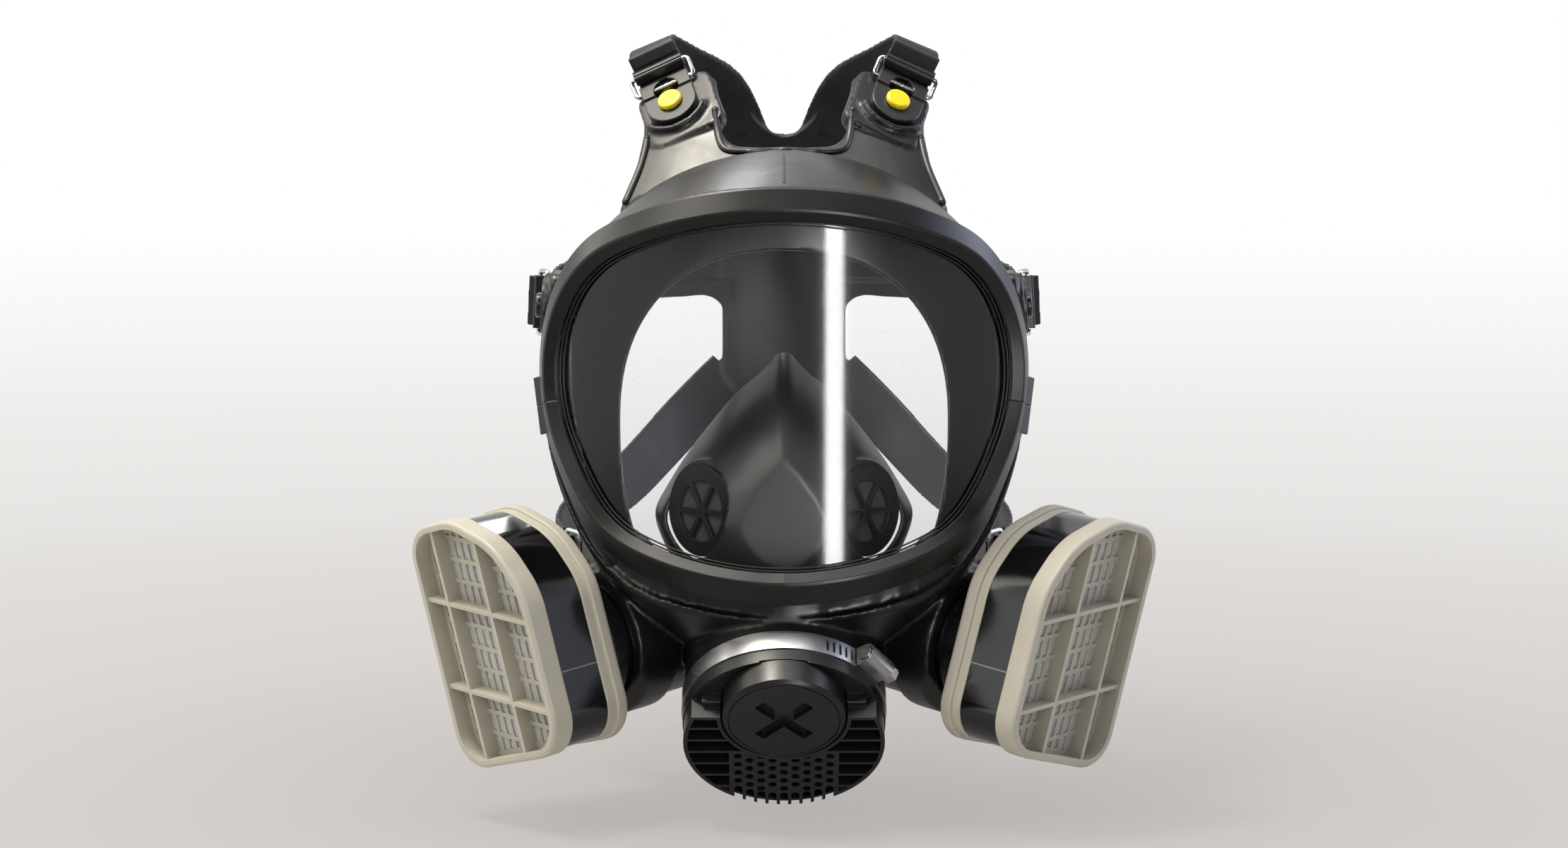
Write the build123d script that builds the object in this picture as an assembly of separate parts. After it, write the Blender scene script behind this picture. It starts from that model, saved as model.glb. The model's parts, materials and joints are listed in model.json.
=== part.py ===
from build123d import *
import os
from math import cos, degrees, pi, radians, sin, sqrt, tan

# Full face respirator. Millimetres, +Z up. The wearer looks along -Y, +X is the
# wearer's left, and the origin is the centre of the opening that seals on the face.
# Everything made for the -X side is mirrored about the YZ plane for the +X side.

# ---------------------------------------------------------------- fits and clearances
RUNNING_GAP = 0.3          # between faces of pieces that move past each other
SEAT_GAP = 0.1             # between faces of pieces that stay together
PIN_FIT = 0.08             # radial play of a pin in its hole
FAR = 400.0                # length of a cutting solid that reaches past the whole part
NEAR = 60.0                # half length of a cutting solid that reaches past one piece
OVERCUT = 1.0              # how far a cut starts before the face that it enters
OUTLINE_STEPS = 24         # points along half of a large outline
EGG_STEPS = 12             # points along half of a small one

# ---------------------------------------------------------------- lens and its frame
LENS_RADIUS = 108.0        # outer radius of the upright cylinder that the lens bends to
LENS_THICKNESS = 2.0
LENS_FRONT = 97.0          # how far the lens stands in front of the origin
FRAME_TOP = 87.5           # height of the top of the frame's outline
CROWN_RADIUS = 170.0       # arcs of one half of the outline, from the top round to the chin
CROWN_TURN = 21.0
SHOULDER_RADIUS = 56.0
SHOULDER_TURN = 94.0
CHEEK_RADIUS = 136.0
CHEEK_TURN = 12.5
JAW_RADIUS = 53.5
JAW_TURN = 29.0
FRAME_WIDTH = 11.0         # measured along the lens
FRAME_RISE = 5.4           # crest above the face of the lens
FRAME_SHOULDER = 1.89      # height of the outer wall above the face of the lens
CREST_OUTER = 6.82         # the crest lies between these, inward from the outer wall
CREST_INNER = 7.92
FRAME_LIP = 0.9            # thickness of the inner edge
FRAME_WALL = 2.2
FRAME_DEPTH = 5.0          # how far the outer wall reaches behind the face of the lens
LENS_EDGE_INSET = 5.0      # edge of the lens inside the frame's outline
RIM_LIP = 1.6              # rubber between the lens and the frame
RIM_OVERLAP = 1.4          # how far that rubber shows inside the frame
RIM_EDGE = 0.96            # height of that rubber at its inner edge
RIM_BEVEL = 0.98           # width of the bevel down to it
SPLIT_HEADING = 102.0      # where the two halves of the frame meet
SECTION_PITCH = 12.0       # spacing of the sections that the frame and its rubber are lofted through
LUG_REACH = 3.4
LUG_LENGTH = 10.0
LUG_DEPTH = 7.0
LUG_ROUNDING = 1.0
FRAME_ROUNDING = 0.35
FRAME_SCREW_RADIUS = 1.25
FRAME_SCREW_HEAD_RADIUS = 2.2
FRAME_SCREW_HEAD_HEIGHT = 1.6
FRAME_NUT_RADIUS = 2.5
FRAME_NUT_HEIGHT = 2.0
SCREW_ACCESS = 4.0         # free space in front of the screw head and the nut
SCREW_SLOT = 0.7           # width and depth of a screw head's slot

# ---------------------------------------------------------------- rubber face blank
SKIRT_WALL = 3.0
SKIRT_WIDEST_Z = 25.0
BROW_DEPTH = -35.0         # section through the brow
BROW_HALF_WIDTH = 86.0
BROW_TOP = 102.0
BROW_CHIN = -88.0
EAR_DEPTH = 0.0            # section through the temples
EAR_HALF_WIDTH = 84.0
EAR_TOP = 104.0
EAR_CHIN = -84.0
NAPE_DEPTH = 26.0          # rearmost section
NAPE_HALF_WIDTH = 82.0
NAPE_TOP = 100.0
NAPE_CHIN = -78.0
SKIRT_ROUNDNESS = 1.9      # 2 is an ellipse, less is more pointed
YOKE_AXIS_Y = 90.3         # the forehead's upper rubber lies on an upright cone
YOKE_HEIGHT = 118.2        # where the cone has YOKE_RADIUS
YOKE_RADIUS = 91.9
YOKE_LEAN = 40.7           # degrees that the cone leans back
YOKE_THICKNESS = 3.4
YOKE_FOOT = 82.0
YOKE_TOP = 130.0
YOKE_EDGE = ((60.0, 80.0), (54.5, 94.0), (52.0, 108.0), (52.0, 131.0))   # outer edge, up
YOKE_NOTCH = ((26.0, 135.0), (24.0, 118.0), (22.5, 104.0), (0.0, 103.0))  # notch, down
YOKE_NOTCH_ROUNDING = 8.0
SEAL_PLAN_RADIUS = 92.0    # the sealing edge lies on an upright cylinder, like a head
SEAL_THICKNESS = 3.0
SEAL_HALF_WIDTH = 60.0
SEAL_TOP = 66.0
SEAL_BOTTOM = -78.0
SEAL_WIDEST_Z = 3.0
SEAL_ROUNDNESS = 2.3

# ---------------------------------------------------------------- outlet under the chin
OUTLET_TILT = 42.0         # degrees below the horizontal
OUTLET_Y = -75.0           # middle of the clamp band's front edge plane
OUTLET_Z = -89.6
NECK_RADIUS = 34.6
NECK_WALL = 3.0
NECK_LENGTH = 46.0
NECK_END = 5.5             # the neck ends this far in front of the outlet's origin
BAND_WIDTH = 7.5
BAND_THICKNESS = 0.8
BAND_SLOT_COUNT = 5
BAND_SLOT_WIDTH = 0.9
BAND_SLOT_LENGTH = 4.4
BAND_SLOT_PITCH = 2.4
HOUSING_ANGLE = 37.0       # degrees from +X round to the worm housing's middle
HOUSING_LENGTH = 12.0
HOUSING_RADIUS = 3.6
HOUSING_LEAD = 1.5         # first band slot after the housing
WORM_RADIUS = 2.5
WORM_HEAD_RADIUS = 3.3
WORM_HEAD_LENGTH = 3.0
WORM_TIP = 0.8
THREAD_COUNT = 6
THREAD_START = 1.4
THREAD_PITCH = 1.8
THREAD_WIDTH = 0.8
THREAD_DEPTH = 0.5
WORM_SLOT_WIDTH = 0.8
WORM_SLOT_DEPTH = 1.2
ADAPTER_WALL = 2.8
ADAPTER_DEPTH = 22.0
ADAPTER_CHAMFER = 1.0
WEB_START = 0.5
WEB_THICKNESS = 3.0
PORT_OFFSET = 14.0         # port above the outlet's axis
PORT_RADIUS = 17.0
PORT_BORE_RADIUS = 14.5
PORT_TUBE_END = 15.5
EXHALE_OFFSET = 16.2       # valve below the outlet's axis
EXHALE_SEAT_RADIUS = 12.3
EXHALE_BORE_RADIUS = 10.3
EXHALE_SEAT_HEIGHT = 1.5
COVER_RADIUS = 34.6
COVER_RIM_RADIUS = 35.0
COVER_WALL = 1.4
COVER_FLOOR = 10.0
COVER_FLOOR_THICKNESS = 1.5
COVER_FRONT = 18.8
COVER_PLATE = 1.6
COVER_STEP = 14.5          # the hood fills the outlet below this line
COVER_LIP = 0.6            # rim above the floor of the recess
PLATE_EDGE = 0.4           # the front plate is smaller than the hood by this
WALL_BITE = 0.5            # inner plates run this far into the hood's wall
FIN_PITCH = 6.45
FIN_THICKNESS = 0.9
FIN_DEPTH = 5.5
FIRST_FIN = 8.3
PANEL_HALF_WIDTH = 19.0
PANEL_TOP = -4.4
HOLE_RADIUS = 1.4
HOLE_PITCH = 4.6
ARCH_LENGTH = 7.0
ARCH_INSET = 3.85          # middle of an arch's round end inside the hood's wall
HOLE_MARGIN = 1.2          # solid strip above the honeycomb
HOLE_ARCH_GAP = 1.0        # least web between a hole and the arch below it
LATCH_OFFSET = 24.6
LATCH_WIDTH = 6.6
LATCH_DEPTH = 2.6
LATCH_HEIGHT = 4.2
LATCH_EDGE = 0.6
PORT_WALL = 1.3            # hood's wall round the cap
CAP_RADIUS = 21.0
CAP_FACE_RADIUS = 18.7
CAP_BASE = 10.3
CAP_FRONT = 19.8
CROSS_LENGTH = 24.0
CROSS_WIDTH = 4.6
CROSS_DEPTH = 2.6
CROSS_ROUNDING = 0.8
CAP_CHAMFER = 1.1
CAP_RING_WIDTH = 0.45      # groove round the cap's face
CAP_RING_DEPTH = 0.8
GASKET_THICKNESS = 1.0

# ---------------------------------------------------------------- nose cup
CUP_WALL = 2.0
CUP_REAR = 30.0            # depth in front of the origin
CUP_REAR_HALF_WIDTH = 47.0
CUP_REAR_TOP = 32.0
CUP_REAR_BOTTOM = -72.0
CUP_REAR_RUN_ON = 14.0     # the cup is cut by the face this far behind its rear section
CUP_REAR_STEP = 4.0
CUP_FACE_GAP = 1.5         # rear edge to the sealing cylinder
CUP_MID = 56.0
CUP_MID_HALF_WIDTH = 40.0
CUP_MID_TOP = 20.0
CUP_MID_BOTTOM = -66.0
CUP_NOSE = 76.0
CUP_NOSE_HALF_WIDTH = 15.0
CUP_NOSE_TOP = -6.0
CUP_NOSE_BOTTOM = -44.0
CUP_WIDEST_Z = -28.0
CUP_ROUNDNESS = 1.7
CUP_BRIDGE_ROUNDNESS = 1.2  # upper half, over the bridge of the nose
CUP_BOSS_WALL = 2.2        # rubber ring round each side valve
CUP_BOSS_DEPTH = 9.0
CUP_COLLAR_RADIUS = 28.2
CUP_COLLAR_DEPTH = 40.0
CUP_COLLAR_LAP = 8.0       # collar over the rear of the adapter
CUP_BORE_RADIUS = 25.5
NOSE_VALVE_X = 27.0
NOSE_VALVE_Y = -57.0
NOSE_VALVE_Z = -25.0
NOSE_VALVE_YAW = 44.0
NOSE_SEAT_RADIUS = 16.0
NOSE_BODY_RADIUS = 14.8
NOSE_FLANGE_THICKNESS = 1.6
NOSE_SEAT_BORE = 12.0
NOSE_SEAT_THICKNESS = 3.4
NOSE_LEDGE = 1.2           # ledge of the bore behind the spokes
NOSE_HOLE_DEPTH = 30.0     # the hole is cut this far behind and in front of the seat
NOSE_HOLE_FRONT = 12.0
FLAP_EDGE = 0.4            # a flap ends this far inside its seat

# ---------------------------------------------------------------- inlets
INLET_YAW = 45.0           # degrees outward from straight ahead
INLET_DIP = 6.3            # degrees below the horizontal
INLET_X = 76.3             # middle of the plane that the cartridge seats on
INLET_Y = -67.3
INLET_Z = -73.0
INLET_RADIUS = 22.0
INLET_BORE_RADIUS = 14.5
INLET_LENGTH = 30.0
INLET_SPIGOT_RADIUS = 20.0
INLET_SPIGOT_LENGTH = 12.0
STUB_WALL = 4.2
STUB_LENGTH = 22.0
SHOULDER_RING_RADIUS = 23.6
SHOULDER_RING_START = 8.0
SHOULDER_RING_LENGTH = 5.5
SPIGOT_CHAMFER = 1.2
LATCH_HALF_WIDTH = 5.0     # latch rib under the shoulder ring
LATCH_REACH = 3.0
LATCH_OVERRUN = 2.0
LATCH_ROUNDING = 1.0
INLET_GASKET_INSET = 1.5
INLET_FLAP_EDGE = 1.2
COLLAR_WALL = 5.0          # rubber round the adapter behind its shoulder ring
COLLAR_SETBACK = 3.0       # free length between that rubber and what turns or clamps in front of it
BAYONET_RADIUS = 15.8
BAYONET_LENGTH = 7.0
BAYONET_LUG_REACH = 2.0
BAYONET_LUG_HEIGHT = 1.9
BAYONET_LUG_ANGLE = 16.0
BAYONET_TURN = 32.0        # from locked to the lugs' notches
BAYONET_LUG_COUNT = 3
BAYONET_PLAY = 5.0         # degrees that a notch is wider than its lug
FLAP_THICKNESS = 0.8
SPOKE_COUNT = 6
SPOKE_WIDTH = 1.4
SPOKE_THICKNESS = 1.8
HUB_RADIUS = 2.24
SPOKE_BITE = 0.5           # spokes run this far into the wall round them

# ---------------------------------------------------------------- cartridges
CARTRIDGE_ROLL = 13.7      # degrees that the long axis leans about the inlet's axis
CARTRIDGE_DEPTH = 34.0
CARTRIDGE_OUTER = 27.3     # straight outer side, from the hub
CARTRIDGE_INNER = 25.8
CARTRIDGE_ABOVE = 52.3
CARTRIDGE_BELOW = 30.8
CARTRIDGE_TOP_END = -4.0   # where the top turns down into the long slope
CARTRIDGE_SLOPE_X = 16.0   # middle of the slope, where it bends
CARTRIDGE_SLOPE_Y = 40.5
CARTRIDGE_SLOPE_FOOT = 23.0
CARTRIDGE_CORNERS = (10.0, 20.0, 30.0, 25.0, 12.0, 12.0)
CARTRIDGE_WALL = 2.0
CARTRIDGE_REAR_THICKNESS = 4.0
CARTRIDGE_FLANGE_LENGTH = 5.5
CARTRIDGE_FLANGE_REACH = 1.8
CARTRIDGE_REAR_ROUNDING = 2.4
CARTRIDGE_FLANGE_ROUNDING = 0.8
CARTRIDGE_STEP_LENGTH = 9.0
CARTRIDGE_STEP_REACH = 0.8
CARTRIDGE_STEP_ROUNDING = 0.5
CARTRIDGE_COVER_START = 25.5
CARTRIDGE_RIM_WIDTH = 2.8
CARTRIDGE_RIM_REACH = 1.6
CARTRIDGE_RIM_ROUNDING = 1.3
CARTRIDGE_RECESS = 6.5
LABEL_THICKNESS = 0.35
LABEL_GAP = 0.6
LABEL_SEAM = -6.0          # height of the seam on the label's inner side
GRILLE_MARGIN = 1.6        # solid edge round the slots
RIB_X = (-16.0, 6.0)       # two ribs along the cartridge
RIB_Y = (-10.5, 20.5)      # two ribs across it, where they pass the hub
RIB_SLANT = -17.5          # degrees that the cross ribs and the rows of slots lean
RIB_THICKNESS = 1.4
RIB_SETBACK = 1.2          # ribs end this far behind the rim
COLUMNS_PER_BAY = 6
ROWS_PER_BAY = 4
SLOT_BAR_X = 1.4           # bars between the slots
SLOT_BAR_Y = 1.7

# ---------------------------------------------------------------- buckles and harness
BUCKLE_WIDTH = 19.5
BUCKLE_TOP = 14.3          # plate's straight edge, from the stud
BUCKLE_THICKNESS = 3.0
BUCKLE_ROUNDING = 0.5
PIN_NOTCH_WIDTH = 3.4
PIN_NOTCH_DEPTH = 2.25
STUD_RADIUS = 2.2
STUD_HEAD_RADIUS = 4.6
STUD_HEAD_HEIGHT = 1.8
STUD_HEAD_ROUNDING = 0.9
STUD_FOOT_RADIUS = 6.0
STUD_FOOT_HEIGHT = 1.4
STUD_FOOT_DEPTH = 2.6      # rubber over the stud's foot
KEYHOLE_OFFSET = 8.4
KEYHOLE_RADIUS = 5.0
BAIL_RADIUS = 0.9
BAIL_OFFSET = 11.0
BAIL_LENGTH = 7.2
BAIL_HALF_WIDTH = 11.6
BAIL_BEND = 1.5
BAIL_SPLIT = 0.02          # gap between the wire's ends
BAR_DEPTH = 4.6
BAR_HEIGHT = 4.2
BAR_LENGTH = 19.5
BAR_MIDDLE = 1.4           # middle of the clamp bar over the plate's face
BAR_ROUNDING = 0.9
BAR_GROOVES = (-0.8, 1.3)  # middles of the grooves between its ridges
BAR_GROOVE_WIDTH = 0.7
BAR_GROOVE_DEPTH = 0.9
GROOVE_OFFSET = 6.0
GROOVE_WIDTH = 1.8
GROOVE_DEPTH = 0.8
TAB_THICKNESS = 5.8
TAB_REACH = {"top": 17.0, "temple": 14.0, "cheek": 16.0}   # below the stud
TAB_ROOT = {"top": 0.0, "temple": 0.0, "cheek": 12.0}      # extra depth down to the skirt
STRAP_WIDTH = 18.5
STRAP_TOP = -0.9           # highest that the strap lies, under the plate's face
STRAP_START = 0.8          # strap starts this far beyond the plate
TAIL_CLEARANCE = 0.9       # between the bar and the tail
TAIL_FOOT = 2.2            # section of the tail: foot, lean, rise and tip
TAIL_LEAN = 5.4
TAIL_RISE = 7.0
TAIL_TIP = 2.0
TAIL_SLANT = 1.0
TAIL_SINK = 0.6
STRAP_JOIN_RADIUS = 30.0   # the strap end meets the harness on an arc about the stud
GUARD_RADIUS = 13.4
GUARD_WIDTH = 2.2
GUARD_HEIGHT = 2.6
GUARD_START = 5.0          # the guard lies farther than this below the stud
TAB_MARGIN = 3.0           # tab beyond the side of the buckle
TAB_INNER_MARGIN = 7.0     # the same on the inner side of a top tab
TAB_END = 13.5             # end of the tab under the strap, from the stud
TAB_ROUNDING = 5.0
SWEEP_BELOW = 10.9         # the swept space starts on an arc this far below the stud
SWEEP_HALF_WIDTH = 20.0
SWEEP_HEIGHT = 14.0
HEAD_CENTRE = (0.0, 70.0, 30.0)
HEAD_RADII = (82.0, 100.0, 115.0)
HARNESS_THICKNESS = 2.5
PAD_THICKNESS = 3.2
PAD_HALF_WIDTH = 26.5
PAD_NOTCH_RADIUS = 13.0
PAD_NOTCH_RISE = 2.0       # centre of the notch above the pad's top
PAD_CORNERS = ((-4.0, 112.0), (0.0, 70.0), (0.0, 12.0), (-10.0, 0.0))   # beyond half width, height
PAD_ROUNDING = 5.0
ARM_THINNING = 0.4         # arms are thinner than the pad's rubber by this
ARM_TURN_SHARE = 2.2       # the arms lie on the head from 1 / this of their length
ARM_LEAD = 6.0             # straight start beyond the strap end
ARM_END_WIDTH = 23.0

# ---------------------------------------------------------------- worked out from the above
LENS_AXIS_Y = LENS_RADIUS - LENS_FRONT
OUTLINE_ARCS = [
    (CROWN_RADIUS, CROWN_TURN),
    (SHOULDER_RADIUS, SHOULDER_TURN),
    (CHEEK_RADIUS, CHEEK_TURN),
    (JAW_RADIUS, JAW_TURN),
]
TURN_BEFORE_CHIN = sum(turn for _, turn in OUTLINE_ARCS)
HEAD_AXIS_Y = SEAL_PLAN_RADIUS + BROW_DEPTH
BASE = (Align.CENTER, Align.CENTER, Align.MIN)
SOCKET_RADIUS = INLET_SPIGOT_RADIUS + SEAT_GAP
STUB_RADIUS = SOCKET_RADIUS + STUB_WALL
NECK_BORE = NECK_RADIUS - NECK_WALL
ADAPTER_RADIUS = NECK_BORE - SEAT_GAP
ADAPTER_BORE = ADAPTER_RADIUS - ADAPTER_WALL
TAB_FACE = -(BUCKLE_THICKNESS + RUNNING_GAP)
PLATE_BACK = -BUCKLE_THICKNESS


def arc_shift(radius, start, end):
    """Step along an arc whose direction turns from start to end, in degrees."""
    along = radius * (sin(radians(end)) - sin(radians(start)))
    down = radius * (cos(radians(end)) - cos(radians(start)))
    return along, down


CHIN_RADIUS = sum(arc_shift(radius, sum(t for _, t in OUTLINE_ARCS[:i]),
                            sum(t for _, t in OUTLINE_ARCS[:i + 1]))[0]
                  for i, (radius, _) in enumerate(OUTLINE_ARCS)) / sin(radians(TURN_BEFORE_CHIN))
OUTLINE_ARCS.append((CHIN_RADIUS, 180.0 - TURN_BEFORE_CHIN))


def outline_point(heading, offset=0.0):
    """Point of the flattened outline where its direction has turned by heading degrees."""
    if heading > 180.0:
        heading -= 360.0
    side = -1 if heading < 0 else 1
    goal = abs(heading)
    along, height, turned = 0.0, FRAME_TOP, 0.0
    for radius, turn in OUTLINE_ARCS:
        end = min(goal, turned + turn)
        if end > turned:
            step = arc_shift(radius, turned, end)
            along += step[0]
            height += step[1]
            turned = end
    along += offset * sin(radians(goal))
    height += offset * cos(radians(goal))
    return side * along, height


def outline_length(heading):
    """Length of the outline from its top to the point that faces a heading."""
    length, turned = 0.0, 0.0
    for radius, turn in OUTLINE_ARCS:
        part = min(max(heading - turned, 0.0), turn)
        length += radius * radians(part)
        turned += turn
    return length


def even_headings(first, last):
    """Headings from first to last that lie evenly along the outline."""
    start, end = outline_length(first), outline_length(last)
    count = max(3, round((end - start) / SECTION_PITCH))
    headings = [first]
    for i in range(1, count):
        goal = start + (end - start) * i / count
        turned = 0.0
        for radius, turn in OUTLINE_ARCS:
            if goal <= radius * radians(turn):
                break
            goal -= radius * radians(turn)
            turned += turn
        headings.append(turned + degrees(goal / radius))
    return headings + [last]


def on_lens(along, height, rise=0.0):
    """Point rise above the lens's face, along the curve from its middle line."""
    angle = along / LENS_RADIUS
    reach = LENS_RADIUS + rise
    return Vector(reach * sin(angle), LENS_AXIS_Y - reach * cos(angle), height)


def outline_plane(heading):
    """Plane across the outline: x points outward along the lens, y away from its face."""
    along, height = outline_point(heading)
    angle = along / LENS_RADIUS
    around = Vector(cos(angle), sin(angle), 0)
    up = Vector(0, 0, 1)
    turn = radians(heading)
    tangent = around * cos(turn) - up * sin(turn)
    outward = around * sin(turn) + up * cos(turn)
    return Plane(origin=on_lens(along, height), x_dir=outward, z_dir=tangent)


def section(points, heading, rounding):
    """Rounded polygon set across the outline."""
    flat = make_face(Polyline(*points, close=True))
    return outline_plane(heading) * fillet(flat.vertices(), rounding)


def loft_along(points, headings, rounding):
    """Bar of one section that follows the outline through the headings."""
    return loft([section(points, heading, rounding) for heading in headings])


def upright(y):
    """Plane at depth y whose own axes are X and Z."""
    return Plane(origin=(0, y, 0), x_dir=(1, 0, 0), z_dir=(0, -1, 0))


def symmetric_face(points, y):
    """Upright face inside a curve given by its right half, from its top to its bottom."""
    right = Spline(*points, tangents=[(1, 0), (-1, 0)])
    return upright(y) * make_face([right, mirror(right, about=Plane.YZ)])


def lens_outline(offset, rise=0.0, count=OUTLINE_STEPS):
    """Right half of the outline, rise above the lens's face, as it is seen from the front."""
    halves = [outline_point(180.0 * i / count, offset) for i in range(count + 1)]
    return [((LENS_RADIUS + rise) * sin(along / LENS_RADIUS), height) for along, height in halves]


def egg(half_width, top, widest, bottom, roundness, count=EGG_STEPS, above=None):
    """Right half of an egg-shaped curve, from its top to its bottom."""
    points = []
    for i in range(count + 1):
        angle = pi * i / count
        upper = angle <= pi / 2
        height = top - widest if upper else widest - bottom
        power = 2 / (above or roundness) if upper else 2 / roundness
        reach = abs(cos(angle)) ** power
        z = widest + height * (reach if upper else -reach)
        points.append((half_width * abs(sin(angle)) ** power if 0 < i < count else 0.0, z))
    return points


def cylinder_at(radius, start, end, x=0.0, y=0.0):
    """Cylinder along the local Z axis between two heights."""
    return Pos(x, y, start) * Cylinder(radius, end - start, align=BASE)


def tube(outer, inner, start, end, x=0.0, y=0.0):
    """Ring along the local Z axis between two heights."""
    return cylinder_at(outer, start, end, x, y) - cylinder_at(inner, start, end, x, y)


def block(x0, x1, y0, y1, z0, z1):
    """Box between two corners."""
    return Pos((x0 + x1) / 2, (y0 + y1) / 2, (z0 + z1) / 2) * Box(x1 - x0, y1 - y0, z1 - z0)


def spokes(radius, start, end, count=SPOKE_COUNT):
    """Star of bars across a bore, with a hub."""
    star = cylinder_at(HUB_RADIUS, start, end)
    for i in range(count):
        arm = block(0, radius, -SPOKE_WIDTH / 2, SPOKE_WIDTH / 2, start, end)
        star += Rot(0, 0, 360.0 / count * i) * arm
    return star


def other_side(shape):
    """The same piece on the +X side."""
    return mirror(shape, about=Plane.YZ)


# ---------------------------------------------------------------- local frames
DOWN = radians(OUTLET_TILT)
OUTLET = Plane(origin=(0, OUTLET_Y, OUTLET_Z), x_dir=(1, 0, 0), z_dir=(0, -cos(DOWN), -sin(DOWN)))
YAW = radians(INLET_YAW)
DIP = radians(INLET_DIP)
INLET_AXIS = Vector(-sin(YAW) * cos(DIP), -cos(YAW) * cos(DIP), -sin(DIP))
INLET = Plane(origin=(-INLET_X, INLET_Y, INLET_Z), x_dir=(cos(YAW), -sin(YAW), 0), z_dir=INLET_AXIS)
CARTRIDGE = INLET * Rot(0, 0, CARTRIDGE_ROLL)
NOSE_YAW = radians(NOSE_VALVE_YAW)
NOSE_VALVE = Plane(origin=(-NOSE_VALVE_X, NOSE_VALVE_Y, NOSE_VALVE_Z),
                   x_dir=(cos(NOSE_YAW), -sin(NOSE_YAW), 0), z_dir=(-sin(NOSE_YAW), -cos(NOSE_YAW), 0))


def buckle_plane(stud, strap, face):
    """Frame of a buckle: origin on its face over the stud, y along the strap, z out of its face."""
    along = Vector(*strap).normalized()
    out = Vector(*face)
    out = (out - along * out.dot(along)).normalized()
    return Plane(origin=stud, x_dir=along.cross(out), z_dir=out)


BUCKLES = {
    "top": buckle_plane((-42.0, 5.0, 121.0), (-0.246, 0.73, 0.636), (-0.335, -0.68, 0.652)),
    "temple": buckle_plane((-88.6, -14.0, 46.0), (-0.05, 0.99, 0.04), (-0.98, -0.05, 0.05)),
    "cheek": buckle_plane((-72.0, -19.0, -51.5), (-0.38, 0.90, 0.16), (-0.9, -0.42, -0.1)),
}


# ---------------------------------------------------------------- lens and frame
def lens(play=0.0):
    """Clear lens bent to an upright cylinder, grown all round by some play."""
    inner = LENS_RADIUS - LENS_THICKNESS - play
    sheet = Pos(0, LENS_AXIS_Y, 0) * (Cylinder(LENS_RADIUS + play, FAR) - Cylinder(inner, FAR))
    outline = symmetric_face(lens_outline(play - LENS_EDGE_INSET, -LENS_THICKNESS / 2), LENS_AXIS_Y)
    return sheet & extrude(outline, amount=LENS_RADIUS + 2 * LENS_THICKNESS)


def frame_profile():
    """Section of the frame: outer wall, sloping crest and an inner edge that holds the rubber."""
    under = RIM_LIP + SEAT_GAP
    return [
        (0.0, -FRAME_DEPTH),
        (0.0, FRAME_SHOULDER),
        (-CREST_OUTER, FRAME_RISE),
        (-CREST_INNER, FRAME_RISE),
        (-FRAME_WIDTH, under + FRAME_LIP),
        (-FRAME_WIDTH, under),
        (-FRAME_WALL, under),
        (-FRAME_WALL, -FRAME_DEPTH),
    ]


def frame_lug(way):
    """Screw lug on the +X side; way is -1 above the split and 1 below it."""
    near = way * SEAT_GAP
    far = way * LUG_LENGTH
    body = block(-FRAME_WALL, LUG_REACH, -FRAME_DEPTH, LUG_DEPTH - FRAME_DEPTH,
                 min(near, far), max(near, far))
    corners = body.edges().filter_by(Axis.Z).group_by(Axis.X)[-1]
    return outline_plane(SPLIT_HEADING) * fillet(corners, LUG_ROUNDING)


def screw_line():
    """Distance of the lug screw's axis outside the outline, and behind the lens's face."""
    return LUG_REACH - FRAME_SCREW_HEAD_RADIUS, -FRAME_DEPTH + LUG_DEPTH / 2


def frame_screw_cut():
    """Clear holes for the screw, its head above the split and its nut below it."""
    x, y = screw_line()
    hole = cylinder_at(FRAME_SCREW_RADIUS + SEAT_GAP, -LUG_LENGTH - 1, LUG_LENGTH + 1, x, y)
    head_seat = LUG_LENGTH - FRAME_SCREW_HEAD_HEIGHT
    nut_seat = LUG_LENGTH - FRAME_NUT_HEIGHT
    head = lug_span(FRAME_SCREW_HEAD_RADIUS + SEAT_GAP, head_seat, LUG_LENGTH + SCREW_ACCESS, -1)
    nut = lug_span(FRAME_NUT_RADIUS + SEAT_GAP, nut_seat, LUG_LENGTH + SCREW_ACCESS, 1)
    return outline_plane(SPLIT_HEADING) * (hole + head + nut)


def lug_span(radius, near, far, way):
    """Cylinder on the lug screw's axis between two distances from the split, to one side of it."""
    x, y = screw_line()
    return cylinder_at(radius, min(way * near, way * far), max(way * near, way * far), x, y)


def frame_half(headings, way):
    """Half of the frame: one quarter with its screw lug, and its mirror image."""
    quarter = loft_along(frame_profile(), headings, FRAME_ROUNDING) + frame_lug(way) - frame_screw_cut()
    return quarter + other_side(quarter)


def lens_frame_upper():
    """Upper half of the frame, from lug to lug over the brow."""
    end = SPLIT_HEADING - degrees(SEAT_GAP / SHOULDER_RADIUS)
    return frame_half(even_headings(0.0, end), -1)


def lens_frame_lower():
    """Lower half of the frame, from lug to lug under the chin."""
    start = SPLIT_HEADING + degrees(SEAT_GAP / SHOULDER_RADIUS)
    return frame_half(even_headings(start, 180.0), 1)


def frame_screws():
    """The two screws that draw the frame's halves together, heads up."""
    x, y = screw_line()
    top = LUG_LENGTH
    screw = lug_span(FRAME_SCREW_RADIUS, -top + SEAT_GAP, top - SEAT_GAP, -1)
    screw += lug_span(FRAME_SCREW_HEAD_RADIUS, top - FRAME_SCREW_HEAD_HEIGHT + SEAT_GAP, top, -1)
    across = FRAME_SCREW_HEAD_RADIUS + OVERCUT
    screw -= block(x - across, x + across, y - SCREW_SLOT / 2, y + SCREW_SLOT / 2, -top - OVERCUT,
                   -top + SCREW_SLOT)
    placed = outline_plane(SPLIT_HEADING) * screw
    return [placed.solid(), other_side(placed).solid()]


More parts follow.
